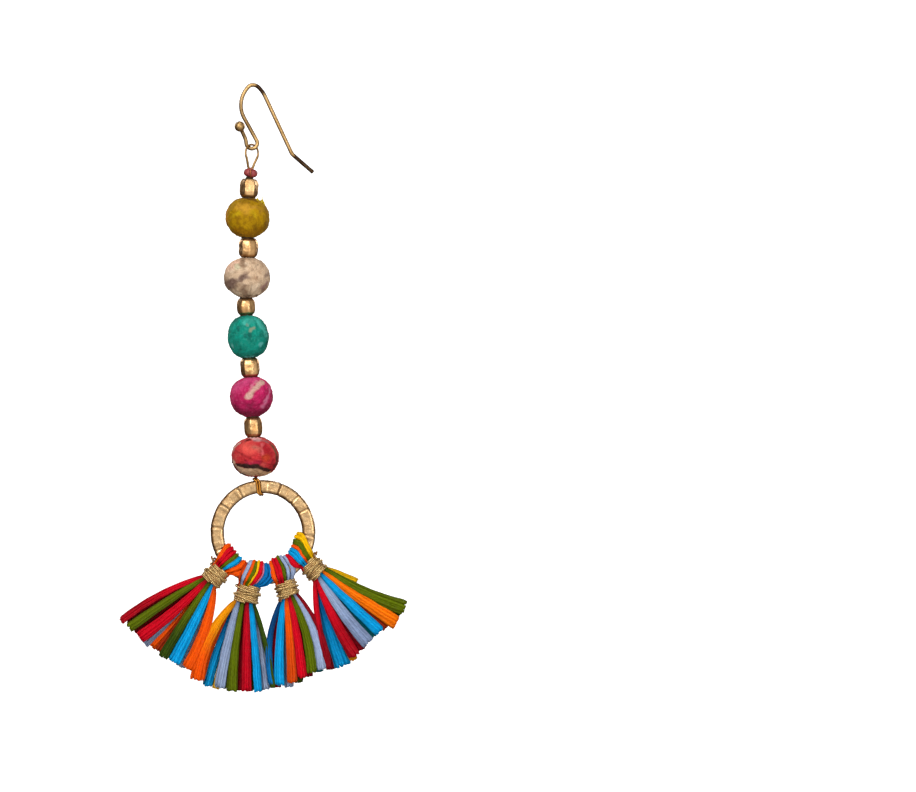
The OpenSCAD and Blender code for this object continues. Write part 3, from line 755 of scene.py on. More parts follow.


# Each cloth bead: name, width of its threads, colour of its faded threads, ground colours and seed, then its
# marks: colour, two ends, half width, softness and raggedness, in shares of half the bead's width and height
# seen from the front. Most marks are print and stains; a few, noted where they stand, are painted light and
# shade.
CLOTH_BEADS = {
    MUSTARD: {
        "name": "mustard", "thread": 0.25, "dust": (222, 186, 30),
        "ground": ((164, 124, 0), (134, 96, 0), (174, 132, 12)), "seed": 11,
        "marks": [
            ((190, 142, 40), ((-0.4, 0.5), (0.0, 0.4)), 0.2, 0.18, 0.1),
            ((178, 132, 48), ((0.25, 0.5), (0.62, 0.36)), 0.08, 0.1, 0.1),
            # Painted highlight along the left edge.
            ((188, 130, 18), ((-0.93, 0.25), (-0.93, -0.2)), 0.16, 0.14, 0.06),
            ((180, 148, 8), ((-0.62, 0.1), (-0.4, 0.2)), 0.12, 0.12, 0.1),
            ((184, 150, 12), ((0.2, 0.26), (0.36, 0.14)), 0.1, 0.12, 0.1),
            # Painted shade under the metal bead above, round the string's hole.
            ((84, 50, 0), ((-0.12, 0.94), (0.4, 0.8)), 0.09, 0.1, 0.1),
            ((150, 104, 0), ((-0.4, -0.75), (0.45, -0.7)), 0.3, 0.2, 0.2),
        ],
    },
    CREAM: {
        "name": "cream", "thread": 0.26, "dust": (240, 226, 206),
        "ground": ((218, 188, 156), (184, 150, 118), (232, 206, 176)), "seed": 23,
        "marks": [
            ((230, 188, 160), ((-0.8, 0.45), (-0.5, 0.7)), 0.25, 0.2, 0.1),
            ((206, 196, 162), ((-0.45, 0.62), (-0.35, 0.5)), 0.12, 0.1, 0.08),
            ((118, 92, 74), ((-0.97, -0.2), (-0.6, -0.42)), 0.2, 0.17, 0.2),
            ((114, 88, 76), ((-0.72, -0.3), (-0.12, 0.0)), 0.15, 0.16, 0.2),
            ((130, 102, 80), ((-0.1, -0.5), (0.1, -0.9)), 0.13, 0.16, 0.2),
            ((146, 118, 92), ((-0.2, 0.95), (-0.14, 0.4)), 0.09, 0.13, 0.16),
            ((160, 124, 112), ((0.86, -0.2), (0.72, -0.5)), 0.1, 0.13, 0.16),
            ((140, 108, 86), ((0.45, -0.85), (0.8, -0.5)), 0.07, 0.1, 0.12),
            ((150, 122, 104), ((0.8, 0.1), (0.93, 0.25)), 0.06, 0.09, 0.08),
        ],
    },
    TEAL: {
        "name": "teal", "thread": 0.24, "dust": (120, 190, 176),
        "ground": ((0, 130, 112), (0, 100, 88), (0, 144, 126)), "seed": 37,
        "marks": [
            ((60, 172, 156), ((0.5, 0.72), (0.86, 0.1)), 0.17, 0.14, 0.24),
            ((50, 164, 148), ((0.0, 0.6), (0.3, 0.75)), 0.12, 0.1, 0.2),
            ((144, 146, 116), ((0.2, 0.36), (0.36, 0.37)), 0.07, 0.08, 0.12),
            ((96, 146, 130), ((0.02, 0.52), (0.08, 0.5)), 0.05, 0.04, 0.1),
            ((96, 176, 166), ((-0.75, -0.42), (-0.62, -0.58)), 0.08, 0.06, 0.16),
            ((88, 172, 166), ((0.6, -0.42), (0.72, -0.35)), 0.06, 0.05, 0.12),
            ((84, 170, 166), ((-0.1, -0.92), (0.15, -0.9)), 0.06, 0.05, 0.1),
        ],
    },
    MAGENTA: {
        "name": "magenta", "thread": 0.23, "dust": (226, 150, 184),
        "ground": ((164, 16, 76), (132, 6, 58), (178, 38, 92)), "seed": 53,
        "marks": [
            ((200, 64, 118), ((-0.6, 0.6), (0.1, 0.85)), 0.22, 0.2, 0.16),
            ((128, 4, 56), ((-0.6, -0.65), (0.55, -0.72)), 0.32, 0.25, 0.16),
            ((202, 162, 148), ((0.5, 0.72), (-0.12, 0.0)), 0.14, 0.07, 0.08),
            ((196, 110, 132), ((0.3, 0.78), (-0.05, 0.3)), 0.05, 0.06, 0.06),
            ((204, 112, 148), ((0.86, 0.42), (0.8, 0.0)), 0.06, 0.07, 0.08),
            ((198, 108, 142), ((0.78, -0.05), (0.5, -0.5)), 0.08, 0.08, 0.08),
        ],
    },
    RED: {
        "name": "red", "thread": 0.24, "dust": (226, 130, 116),
        "ground": ((194, 42, 50), (164, 20, 36), (206, 72, 70)), "seed": 71,
        "marks": [
            ((220, 80, 72), ((-0.35, 0.6), (-0.1, 0.3)), 0.2, 0.18, 0.1),
            ((184, 96, 84), ((0.02, 0.5), (0.2, 0.42)), 0.13, 0.12, 0.08),
            ((214, 100, 104), ((0.3, 0.6), (0.36, 0.1)), 0.07, 0.08, 0.1),
            ((188, 58, 34), ((0.42, 0.0), (0.55, -0.1)), 0.12, 0.12, 0.12),
            ((172, 28, 62), ((-0.3, -0.26), (0.15, -0.3)), 0.12, 0.1, 0.08),
            ((206, 172, 138), ((-0.6, -0.7), (0.05, -0.78)), 0.36, 0.04, 0.04),
            ((198, 160, 122), ((0.05, -0.78), (0.45, -0.88)), 0.26, 0.05, 0.04),
            ((210, 174, 148), ((-0.9, -0.12), (-0.72, -0.5)), 0.09, 0.05, 0.05),
            ((44, 28, 24), ((-0.74, -0.3), (-0.42, -0.4)), 0.09, 0.05, 0.04),
            ((40, 26, 24), ((-0.42, -0.4), (0.1, -0.45)), 0.12, 0.05, 0.05),
            ((44, 26, 22), ((0.1, -0.45), (0.6, -0.68)), 0.11, 0.05, 0.05),
            # Painted shade along the bead's outline, at lower left, right and lower right.
            ((52, 34, 26), ((-0.97, -0.17), (-0.56, -0.81)), 0.17, 0.06, 0.05),
            ((110, 66, 42), ((0.76, 0.5), (0.93, -0.1)), 0.12, 0.1, 0.06),
            ((92, 26, 28), ((0.93, -0.1), (0.74, -0.62)), 0.13, 0.1, 0.06),
            ((232, 178, 176), ((-0.12, 0.96), (0.2, 0.84)), 0.13, 0.08, 0.08),
            ((142, 98, 104), ((0.18, 0.8), (0.5, 0.74)), 0.11, 0.08, 0.1),
            ((110, 60, 56), ((0.2, 0.97), (0.58, 0.78)), 0.06, 0.05, 0.06),
            ((112, 0, 10), ((-0.26, 0.83), (-0.16, 0.86)), 0.1, 0.06, 0.06),
            ((196, 150, 136), ((-0.86, 0.42), (-0.62, 0.68)), 0.08, 0.07, 0.08),
        ],
    },
}
# Points of a cloth bead from rim to rim and round it, strips of cloth on it, and the cloth's thickness
CLOTH_ROWS = 104
CLOTH_COLS = 160
CLOTH_STRIPS = 5
CLOTH_T = 0.13


def cloth_bead(i):
    """A full round bead under overlapping strips of cloth. Each strip is the part of the bead on one side
    of a plane, and lies a cloth's thickness above the last. Pleats gather towards the two rims, as
    cosines of the angle round the bead, and small creases are ridges of random noise."""
    width, height = BEADS[i][:2]
    data = CLOTH_BEADS[i]
    seed = data["seed"]
    draw = np.random.default_rng(seed)
    r, z = bead_profile(BEADS[i], CLOTH_ROWS)
    points = turn_profile(r, z, CLOTH_COLS)
    outside = (np.arange(len(r)) < CLOTH_ROWS)[:, None]
    way = unit(points / (width / 2, width / 2, height / 2))
    a, b, c = (paint(colour) for colour in data["ground"])
    mottle = noise(way, 2.6, seed) + 0.5 * noise(way, 7, seed + 1)
    tint = blend(a, b, step(0.05, 0.75, mottle)[..., None])
    tint = blend(tint, c, step(0.1, 0.8, -mottle)[..., None])
    rise = np.zeros(way.shape[:-1])
    uv = way[..., ::2] * width / 2
    for k in range(CLOTH_STRIPS):
        normal, slant = unit(draw.normal(size=3)), unit(draw.normal(size=3))
        edge = way @ normal - draw.uniform(-0.3, 0.45) + 0.04 * noise(way, 4, seed + 10 + k)
        over = step(0, 0.05, edge)
        rise = rise * (1 - 0.4 * over) + CLOTH_T * over + 0.05 * step(0.14, 0.04, edge) * over
        tint = blend(tint, tint * (1 + draw.uniform(-0.12, 0.12)), over[..., None])
        # Painted shade: a darker line along each strip's edge, where it lies over the cloth below.
        tint = blend(tint, tint * 0.72, (np.exp(-(edge / 0.025) ** 2) * 0.6)[..., None])
        plane = np.cross(normal, slant)
        own = np.stack([way @ unit(plane), way @ slant], -1) * width / 2
        uv = np.where((over > 0.5)[..., None], own, uv)
    for m, (colour, ends, half_width, soft, ragged) in enumerate(data["marks"]):
        for turned in (way, -way):
            mask = stroke(turned, ends, half_width, soft, ragged, seed + 30 + m)
            tint = blend(tint, paint(colour) * (1 + 0.08 * mottle[..., None]), mask[..., None])
    around = np.arctan2(way[..., 1], way[..., 0])
    poleward = np.exp(-((1 - np.abs(way[..., 2])) / 0.16) ** 2)
    pleats = np.cos(13 * around + 5 * noise(way, 2, seed + 2)) * poleward
    crease = 1 - np.abs(noise(way + 0.25 * noise(way, 3, seed + 3)[..., None], 3.2, seed + 4))
    fine = 1 - np.abs(noise(way, 8.5, seed + 5))
    lump = noise(way, 1.4, seed + 6)
    rise = rise + 0.09 * lump + 0.06 * pleats + 0.11 * (crease ** 6 - 0.2) + 0.03 * (fine ** 4 - 0.2)
    # Painted shade: the cloth is darker along its crease lines.
    dust = step(0.75, 1.0, crease)[..., None] * 0.16
    tint = blend(tint, tint * 0.6, dust)
    rim_fade = step(BORE_R, BORE_R + 0.7, np.hypot(points[..., 0], points[..., 1]))
    out = unit(points / (width ** 2, width ** 2, height ** 2))
    points = points + ((rise - 0.12) * rim_fade * outside)[..., None] * out
    uv = np.pad(uv, ((0, 1), (0, 1), (0, 0)), "wrap")
    skin = Skin()
    skin.add(on_string(i, points)[:, ::-1], (True, True), uv[:, ::-1], tint[:, ::-1])
    if i == MUSTARD:
        bead_tuft(skin)
    slot, node = "cloth_" + data["name"], "bead_" + data["name"]
    skin.piece(f"{node}_cloth", cloth(slot, data["thread"], data["dust"]), slot, node)


def add_hairs(skin, roots, tips, bend, radius, tint, rings=6):
    """Fine fibres: each runs from root to tip along a parabola that bows by its bend, and thins out."""
    t = np.linspace(0, 1, rings)[:, None]
    path = blend(roots[:, None], tips[:, None], t) + bend[:, None] * (4 * t * (1 - t))
    skin.add(tube(path, np.array([0.1, 1.0, 0.05]), radius * (1 - 0.6 * t[:, 0]), 3), tint=tint)


def bead_tuft(skin):
    """Frayed corner of cloth that stands up beside the top of the mustard bead: a curled flap and
    fibres."""
    draw = np.random.default_rng(5)
    centre = bead_place(MUSTARD)
    u, v = np.linspace(-1, 1, 15)[:, None], np.linspace(0, 1, 11)
    lift = 1.15 + 0.3 * np.sin(4 * u) + 0 * v
    flap = np.stack(np.broadcast_arrays(
        2.45 + 0.75 * u + 0.25 * v * v,
        -1.0 + 0.5 * u + 0.35 * np.sin(3 * u + 2 * v),
        2.45 - 0.5 * u + lift * v - 0.35 * u * u,
    ), -1) + centre
    thick = np.array([0.05, -0.08, 0.03])
    loop = np.concatenate([flap + thick, (flap - thick)[:, ::-1]], 1)
    skin.add(loop[::-1], (False, True), tint=paint((214, 186, 36)))
    fibres = (26, 3)
    root = centre + np.array([2.45, -1.0, 2.5]) + draw.normal(size=fibres) * (0.55, 0.3, 0.2)
    tip = root + np.array([0.35, -0.1, 1.15]) + draw.normal(size=fibres) * (0.45, 0.3, 0.35)
    add_hairs(skin, root, tip, draw.normal(size=fibres) * 0.15, 0.05, paint((218, 196, 60)))


def smoothed(values, reach, mode):
    """Values averaged over their neighbours under a cosine bell."""
    bell = np.hanning(2 * reach + 1) / np.hanning(2 * reach + 1).sum()
    return np.convolve(np.pad(values, reach, mode), bell, "valid")


def spacer_bead(number, finish):
    """Faceted barrel. Its outline is a polygon's, cos(pi/n) / cos(b) from the middle of a flat, softened by
    a power mean with the circle, and its height follows three bevels with rounded joins. Both ends are
    darker brown: tarnish, and painted shade where the bead meets its neighbours."""
    sides, sharp, turn = SPACERS[number - 1]
    i = 2 * number - 1
    width, height = BEADS[i][:2]
    z = np.linspace(height / 2, -height / 2, SPACER_ROWS)
    share = smoothed(np.interp(z, BEVEL_Z * height, BEVEL_W), 4, "edge")
    bore_z = np.linspace(z[-1], z[0], 8)[1:-1]
    r = np.concatenate([LIP_W, share, LIP_W[::-1]]) * width / 2
    r = np.concatenate([r, np.full(len(bore_z), BORE_R)])
    z = np.concatenate([[z[0] - LIP_DIP, z[0]], z, [z[-1], z[-1] + LIP_DIP], bore_z])
    b = np.arange(SPACER_COLS) * 2 * math.pi / SPACER_COLS
    flat = 2 * math.pi / sides
    off = (b - math.radians(turn)) % flat - flat / 2
    polygon = math.cos(flat / 2) / np.cos(off)
    outline = (polygon ** -sharp + 1) ** (-1 / sharp) * 2 ** (1 / sharp)
    outline = outline / outline.max()
    outer = step(BORE_R, BORE_R + 0.35, r)[:, None]
    grid = turn_profile(r[:, None] * blend(1, outline, outer), z, SPACER_COLS)
    dents = noise(grid, 0.9, 40 + i) * 0.035 + noise(grid, 2.2, 50 + i) * 0.015
    grid[..., :2] *= 1 + (dents * outer)[..., None]
    # Darker brown on both end bevels: tarnish, and painted shade where the bead meets its neighbours.
    tarnish_and_end_shade = 0.75 * step(0.36, 0.49, np.abs(z) / height)[:, None]
    skin = Skin()
    skin.add(on_string(i, grid)[:, ::-1], (True, True), wear=tarnish_and_end_shade)
    skin.piece(f"spacer_bead_{number}_metal", finish, "bead_gold", f"spacer_bead_{number}")


def stopper(finish, strap):
    """Small full round bead, dented a little, with a strip of wire over its front."""
    r, z = bead_profile(BEADS[STOPPER], 40)
    grid = turn_profile(r, z, 64)
    grid = grid * (1 + 0.03 * noise(grid, 1.1, 3)[..., None] * (r > BORE_R + 0.1)[:, None, None])
    skin = Skin()
    skin.add(on_string(STOPPER, grid)[:, ::-1], (True, True))
    skin.piece("stopper_round", finish, "stopper_pink", "stopper_bead")
    keys = [
        (0.15, -0.35, 1.0), (0.1, -1.05, 0.75), (0.02, -1.5, 0.05), (0.05, -1.1, -0.75), (0.1, -0.5, -1.05),
    ]
    path = through(bead_place(STOPPER) + keys, 40)
    skin = Skin()
    skin.add(tube(path, RIGHT, 0.19, 12, groove=0.12, lay=0.9))
    skin.piece("stopper_strap", strap, "fine_wire_gold", "bead_wire")


def loop_wire(finish):
    """Teardrop loop of fine wire: a leg up, an arc of the loop's radius, and a leg down, in a plane turned
    about the vertical."""
    yaw = math.radians(LOOP_YAW)
    sideways = np.array([math.cos(yaw), math.sin(yaw), 0])
    plane = np.array([-math.sin(yaw), math.cos(yaw), 0])
    lean = math.asin(LOOP_R / math.hypot(LOOP_FOOT, LOOP_DROP)) - math.atan(LOOP_FOOT / LOOP_DROP)
    a = np.linspace(-lean, math.pi + lean, 60)
    leg_u, leg_up = np.array(LOOP_LEG).T
    leg_up = leg_up - LOOP_DROP
    u = np.concatenate([leg_u, LOOP_R * np.cos(a), -leg_u[::-1]])
    up = np.concatenate([leg_up, LOOP_R * np.sin(a), leg_up[::-1]])
    path = LOOP_CENTRE + u[:, None] * sideways + up[:, None] * UP
    path[:, 0] += STRING_SHIFT * step(-0.8, -LOOP_DROP, up)
    thick = FINE_R + 0.05 * step(0.2, -1.2, up)
    skin = Skin()
    skin.add(tube(path, plane, thick, 16))
    skin.piece("loop_wire", finish, "fine_wire_gold", "bead_wire")


def string_core(finish):
    """The two ends of the string, twisted together through every bead, with a dark turn of thread between
    neighbours as painted shadow where they meet, and a knot above the first metal bead."""
    route = string_route()
    path = through(np.concatenate([route[:1] + (0, 0, 0.4), route[1:], route[-1:] + (0.02, 0, -0.35)]), 330)
    skin = Skin()
    skin.add(tube(path, RIGHT, 0.3, 12, groove=0.22, lay=2.2))
    a = np.linspace(0, 2 * math.pi, 48, endpoint=False)
    # Dark rings of thread in the gaps between beads: painted shadow.
    for i in range(NUGGET, RED):
        foot = -BEADS[i].height / 2 - BEADS[i + 1].gap / 2
        shade_coil = np.stack([SHADE_COIL_R * np.cos(a), SHADE_COIL_R * np.sin(a), foot + 0 * a], -1)
        skin.add(closed_tube(on_string(i, shade_coil), SHADE_COIL_THICK), (True, True))
    t = np.linspace(0, 2 * math.pi, 90)
    knot = np.stack([0.62 * np.sin(2 * t + 0.4), 0.55 * np.cos(3 * t), 0.16 * np.sin(3 * t)], -1)
    top = bead_place(NUGGET) + (0.1, 0, BEADS[NUGGET].height / 2 + 0.15)
    skin.add(tube(top + knot, UP, 0.19, 10))
    skin.piece("string_core", finish, "fine_wire_gold", "bead_wire")


def ring_turns(finish):
    """Two turns round the ring's band: a rounded rectangle whose place on the ring moves on evenly and
    slants by the sine of its angle."""
    half_band, half_depth = (size / 2 + TURNS_GAP + FINE_R - TURNS_CORNER for size in (BAND, RING_DEPTH))
    quarter = np.repeat(np.arange(1, 8), 10)
    angle = quarter * 90 + np.tile(np.linspace(0, 90, 10), 7)
    middle, a = np.radians(90 * quarter + 45), np.radians(angle)
    depth = half_depth * np.sign(np.cos(middle)) + TURNS_CORNER * np.cos(a)
    out = half_band * np.sign(np.sin(middle)) + TURNS_CORNER * np.sin(a)
    where = TURNS_START + TURNS_PITCH * angle / 360 - TURNS_SLANT * np.sin(a)
    turns = RING_CENTRE + (RING_R - BAND / 2 + out)[:, None] * down(180 - where)
    turns[:, 1] = depth
    string_end = string_route()[-1]
    lead = through(np.array([string_end + (0, 0, 0.3), string_end + (0.02, 0, -0.25), turns[0]]), 12)[:-1]
    skin = Skin()
    path = np.concatenate([lead, turns])
    skin.add(tube(path, across(-6.0), 1.2 * FINE_R, 14, groove=0.1, lay=1.1))
    skin.piece("ring_turns", finish, "fine_wire_gold", "bead_wire")


# Ring

def rounded_section(half_w, half_t, corner, count):
    """Points evenly spaced along a rounded rectangle, with its outward directions."""
    straight_w, straight_t, arc = 2 * (half_w - corner), 2 * (half_t - corner), math.pi / 2 * corner
    spans = np.array([straight_t, arc, straight_w, arc] * 2)
    starts = np.concatenate([[0], np.cumsum(spans)])
    s = np.linspace(0, starts[-1], count, endpoint=False)
    k = np.searchsorted(starts, s, side="right") - 1
    t = (s - starts[k]) / spans[k]
    turned = k // 2 * math.pi / 2 + np.where(k % 2 == 1, t * math.pi / 2, 0)
    normal = np.stack([np.cos(turned), np.sin(turned)], -1)
    centres = np.array([[1, 1], [-1, 1], [-1, -1], [1, -1]]) * (half_w - corner, half_t - corner)
    here, before = centres[(k // 2) % 4], centres[(k // 2 - 1) % 4]
    base = np.where((k % 2 == 1)[:, None], here, blend(before, here, t[:, None]))
    return base + corner * normal, normal


def fringe_ring(finish):
    """Rounded band swept round the circle. It is cut by cross grooves of a bell's section, and between
    them each land has its own tilt and shallow hammer marks."""
    section, normal = rounded_section(BAND / 2, RING_DEPTH / 2, RING_CORNER, RING_COLS)
    angle = np.arange(RING_ROWS) * 360 / RING_ROWS
    grooves = np.array(GROOVES)
    off = (angle[:, None] - grooves + 180) % 360 - 180
    nearest = np.abs(off).argmin(1)
    draw = np.random.default_rng(8)
    depths = draw.uniform(0.3, 0.75, len(grooves))
    depths[DEEP_GROOVE] = 1
    off = np.abs(off).min(1)
    bell = depths[nearest] * np.exp(-(off / GROOVE_HALF) ** 2)
    shoulder = np.exp(-((off - 2.6) / 1.1) ** 2)
    lands = 5 * len(grooves)
    land = np.floor((angle + 30) / 360 * lands).astype(int) % lands
    tilt = smoothed(draw.uniform(-0.05, 0.05, lands)[land], 4, "wrap")
    spoke = down(180 - angle)
    centre = RING_R - BAND / 2
    place = (centre + section[:, 0])[None, :, None] * spoke[:, None, :]
    place = place + section[None, :, 1:2] * BEHIND
    out = normal[None, :, :1] * spoke[:, None, :] + normal[None, :, 1:2] * BEHIND
    face = np.abs(normal[:, 1])[None, :]
    hammer = noise(place, 1.0, 60) * 0.035 + noise(place, 2.7, 61) * 0.016
    sink = -blend(0.09, 0.17, face) * bell[:, None] + 0.02 * shoulder[:, None] + hammer
    sink = sink + tilt[:, None] * face - 0.02
    place = place + sink[..., None] * out
    # Painted shade: brown near both edges of the band, strong on the edges that face left and faint on those
    # that face right.
    near_rim = step(BAND / 2 - 0.85, BAND / 2 - 0.35, np.abs(section[:, 0]))
    rim = near_rim * (0.5 - 0.45 * np.sign(section[:, 0]) * spoke[:, :1])
    patina_and_shade = np.clip(bell[:, None] * 0.95 - hammer * 5 + rim, 0, 1)
    skin = Skin()
    skin.add(RING_CENTRE + place, (True, True), wear=patina_and_shade)
    skin.piece("ring_band", finish, "ring_gold", "fringe_ring")


# Tassels

def neck_centre(t):
    """The middle of a tassel's neck."""
    return RING_CENTRE + (t.neck_x, 0, t.neck_z)


def neck_point(t, along, sideways, depth):
    """A place in a tassel's neck: along its lean, across it and to the back, from the neck's centre."""
    along, sideways, depth = (part[..., None] for part in np.broadcast_arrays(along, sideways, depth))
    return neck_centre(t) + along * down(t.lean) + sideways * across(t.lean) + depth * BEHIND


def bundle(path, reference, half_width, half_depth, phase, twist, threads, fill=1.15):
    """Paths and radii of the threads packed in one strand's oval section. Thread k stands at k golden
    angles and at the square root of (k + 0.4) / n of the way out, and all turn by the twist along the
    strand. Their radius is the one that fills the oval, sqrt(w d / n), times fill."""
    side, up = frames(path, reference)
    s = np.linspace(0, 1, path.shape[-2])
    k = np.arange(threads)[:, None]
    reach = np.sqrt((k + 0.4) / threads)
    turned = k * math.radians(GOLDEN_ANGLE) + phase + twist * s
    radius = fill * np.sqrt(half_width * half_depth / threads) + 0 * s
    wide = (half_width - 0.8 * radius) * reach * np.cos(turned)
    deep = (half_depth - 0.8 * radius) * reach * np.sin(turned)
    paths = path[None] + wide[..., None] * side + deep[..., None] * up
    return paths, np.broadcast_to(radius, turned.shape), (reach * np.cos(turned)) ** 2


def dye(first, last, share, dye_lot_and_shade):
    """Colour along a strand from its first dye to its last, lighter or darker by its dye lot and by painted
    shade.
    """
    colour = blend(paint(first), paint(last), share[..., None])
    return np.clip(colour * (1 + dye_lot_and_shade[..., None]), 0, 1)


def head_strand(skin, t, share, span, colour, under, bow, draw):
    """One strand folded over the ring. Its path runs smoothly from the neck up the front face, over the
    crest inside the ring and down the back face, and it is flattened between the faces and thick at
    the crest. A strand may lie under its neighbour."""
    angle = blend(t.head_from, t.head_to, share)
    neck_w = t.width / 2 - 0.12
    off = 2 * share - 1
    at = neck_w * off
    over = RING_DEPTH / 2 + RING_CLEAR + STRAND_T / 2 - 0.3 * under
    crest_t = (t.crest + 0.15) * (1 - 0.45 * abs(off) ** 5 - 0.25 * under) - RING_CLEAR
    rim = RING_CENTRE + INNER_R * down(angle)
    inward = -down(angle)
    start = neck_point(t, -t.near - 0.1, at, 0.0)
    tuck = 1 - 0.5 * abs(off) ** 3
    aside = bow * across(t.lean)
    back_half = [neck_point(t, 0.3, 0.9 * at, 0.6 * tuck), start + tuck * BEHIND]
    back_half += [
        blend(start, rim, way) + (over + 0.12 * (1 - way)) * BEHIND + math.sin(math.pi * way) * aside
        for way in (0.3, 0.65, 0.95)
    ]
    back_half += [rim + (RING_CLEAR + 0.42 * crest_t) * inward + 0.46 * RING_DEPTH * BEHIND]
    front_half = [point * (1, -1, 1) for point in back_half]
    crest = rim + (RING_CLEAR + crest_t / 2) * inward
    path = through(np.array([*front_half, crest, *back_half[::-1]]), HEAD_RINGS)
    s = np.abs(np.linspace(-1, 1, HEAD_RINGS))
    on_ring = 1 - step(0.5, 0.85, s)
    at_crest = 1 - step(0.05, 0.42, s)
    arc = math.radians(t.head_to - t.head_from) * (INNER_R - 0.2) * span / 2
    wide = blend(neck_w * span * 1.06, arc * 1.1 + 0.03, on_ring)
    deep = blend(blend(0.5, STRAND_T / 2 + 0.03, on_ring), crest_t / 2, at_crest)
    threads = HEAD_THREADS if span > 0.1 else THIN_HEAD_THREADS
    twist = draw.uniform(-0.5, 0.5)
    reference = across(angle)
    paths, radius, edge = bundle(path, reference, wide, deep, draw.uniform(0, 6), twist, threads, 1.3)
    # Painted shade: darker towards the neck and on the threads at each strand's sides.
    dye_lot_and_shade = draw.uniform(-0.06, 0.06, threads)[:, None] - 0.25 * step(0.62, 0.9, s) - 0.34 * edge
    tint = dye(colour, colour, np.zeros(edge.shape), dye_lot_and_shade)
    wear = draw.uniform(0, 1, threads)[:, None, None]
    skin.add(tube(paths, reference, radius, 8), tint=tint[:, :, None], wear=wear)


def fan_strand(skin, t, row, draw):
    """One cut strand. Its path leaves the neck and follows a parabola through its bow to its cut end. Its
    threads start pressed together, spread and fluff out, wave a little and end unevenly."""
    layer, first, last, at, bow, angle, reach, width = row
    root = neck_point(t, t.far + 0.1, at, layer * PRESSED_R)
    tip = neck_centre(t) + reach * down(angle) + layer * 0.75 * BEHIND
    chord = tip - root
    right = unit(np.array([-chord[2], 0, chord[0]]))
    inside = neck_point(t, -0.3, 0.75 * at, layer * 0.35)
    s = np.linspace(0, 1, FAN_RINGS)[:, None] ** 0.9
    knee = (root + tip) / 2 - 2 * bow * right + layer * 0.3 * BEHIND
    curve = (1 - s) ** 2 * root + 2 * s * (1 - s) * knee + s * s * tip
    pressed = blend(inside, root, np.linspace(0, 1, 4)[:-1, None])
    path = np.concatenate([pressed, curve])
    s = np.concatenate([np.zeros(len(pressed)), s[:, 0]])
    wide = blend(PRESSED_R, width / 2, s ** 0.6)
    deep = blend(PRESSED_R, 0.55 + 0.09 * width, step(0, 0.8, s))
    threads = FAN_THREADS if width > 1.5 else THIN_FAN_THREADS
    twist = draw.uniform(-0.7, 0.7)
    paths, radius, edge = bundle(path, right, wide, deep, draw.uniform(0, 6), twist, threads)
    side, up = frames(path, right)
    run = lengths(path)
    phase, swing = draw.uniform(0, 6.3, (2, threads, 1)), draw.uniform(0.01, 0.05, (2, threads, 1))
    crimp = draw.uniform(3.5, 6.0, (threads, 1))
    grow = step(0.05, 0.5, s)
    paths += (swing[0] * grow * np.sin(run * 2 * math.pi / crimp + phase[0]))[..., None] * side
    paths += (swing[1] * grow * np.sin(run * 2 * math.pi / crimp * 0.7 + phase[1]))[..., None] * up
    paths += draw.uniform(-0.32, 0.2, (threads, 1, 1)) * step(0.5, 1, s)[:, None] * unit(chord)
    radius = radius * np.where(s > 0.999, 0.75, 1)
    # Painted shade: darker at the root where the strand leaves the binding, on the threads at each strand's
    # sides, and over the whole back layer.
    dye_lot_and_shade = draw.uniform(-0.12, 0.08, threads)[:, None] - 0.3 * step(0.12, 0, s) - 0.36 * edge
    dye_lot_and_shade = dye_lot_and_shade - (0.2 if layer == BACK else 0)
    tint = dye(first, last, np.broadcast_to(step(0.25, 0.8, s), edge.shape), dye_lot_and_shade)
    wear = draw.uniform(0, 1, threads)[:, None, None]
    skin.add(tube(paths, right, radius, 7), tint=tint[:, :, None], wear=wear)
    hairs = (STRAND_HAIRS, 3)
    roots = paths[draw.integers(0, threads, STRAND_HAIRS), -3] + draw.normal(size=hairs) * 0.12
    tips = roots + unit(chord) * draw.uniform(0.7, 1.3, (STRAND_HAIRS, 1)) + draw.normal(size=hairs) * 0.16
    fuzz = dye(last, last, np.zeros(1), np.full(1, 0.12))
    add_hairs(skin, roots, tips, draw.normal(size=hairs) * 0.06, 0.04, fuzz)


def tassel(number, finish):
    """Head strands side by side over the ring, then the cut strands, back layer first."""
    t = TASSELS[number - 1]
    draw = np.random.default_rng(100 + number)
    head, fan = Skin(), Skin()
    weights = np.array([row[1] for row in HEADS[number - 1]])
    edges = np.concatenate([[0], np.cumsum(weights)]) / weights.sum()
    for (colour, _, under, bow), start, end in zip(HEADS[number - 1], edges, edges[1:]):
        head_strand(head, t, (start + end) / 2, end - start, colour, under, bow, draw)
    for row in FANS[number - 1]:
        fan_strand(fan, t, row, draw)
    for part, skin in (("head", head), ("fan", fan)):
        skin.piece(f"tassel_{number}_{part}", finish, "floss", f"tassel_{number}")


def stadium(turn, flat, rounding):
    """Point at a turn, from 0 to 1 and round again, along an oval of two straight sides of half length
    flat and two half circles, starting at the middle of the front."""
    half = math.pi * rounding
    total = 4 * flat + 2 * half
    s = (turn % 1) * total
    right_end, left_end = flat + half, 3 * flat + 2 * half
    right, left = (s - flat) / rounding - math.pi / 2, (s - 3 * flat - half) / rounding + math.pi / 2
    parts = [s < flat, s < right_end, s < right_end + 2 * flat, s < left_end]
    xs = [s, flat + rounding * np.cos(right), flat + right_end - s, rounding * np.cos(left) - flat]
    ys = [-rounding + 0 * s, rounding * np.sin(right), rounding + 0 * s, rounding * np.sin(left)]
    return np.select(parts, xs, s - total), np.select(parts, ys, -rounding)


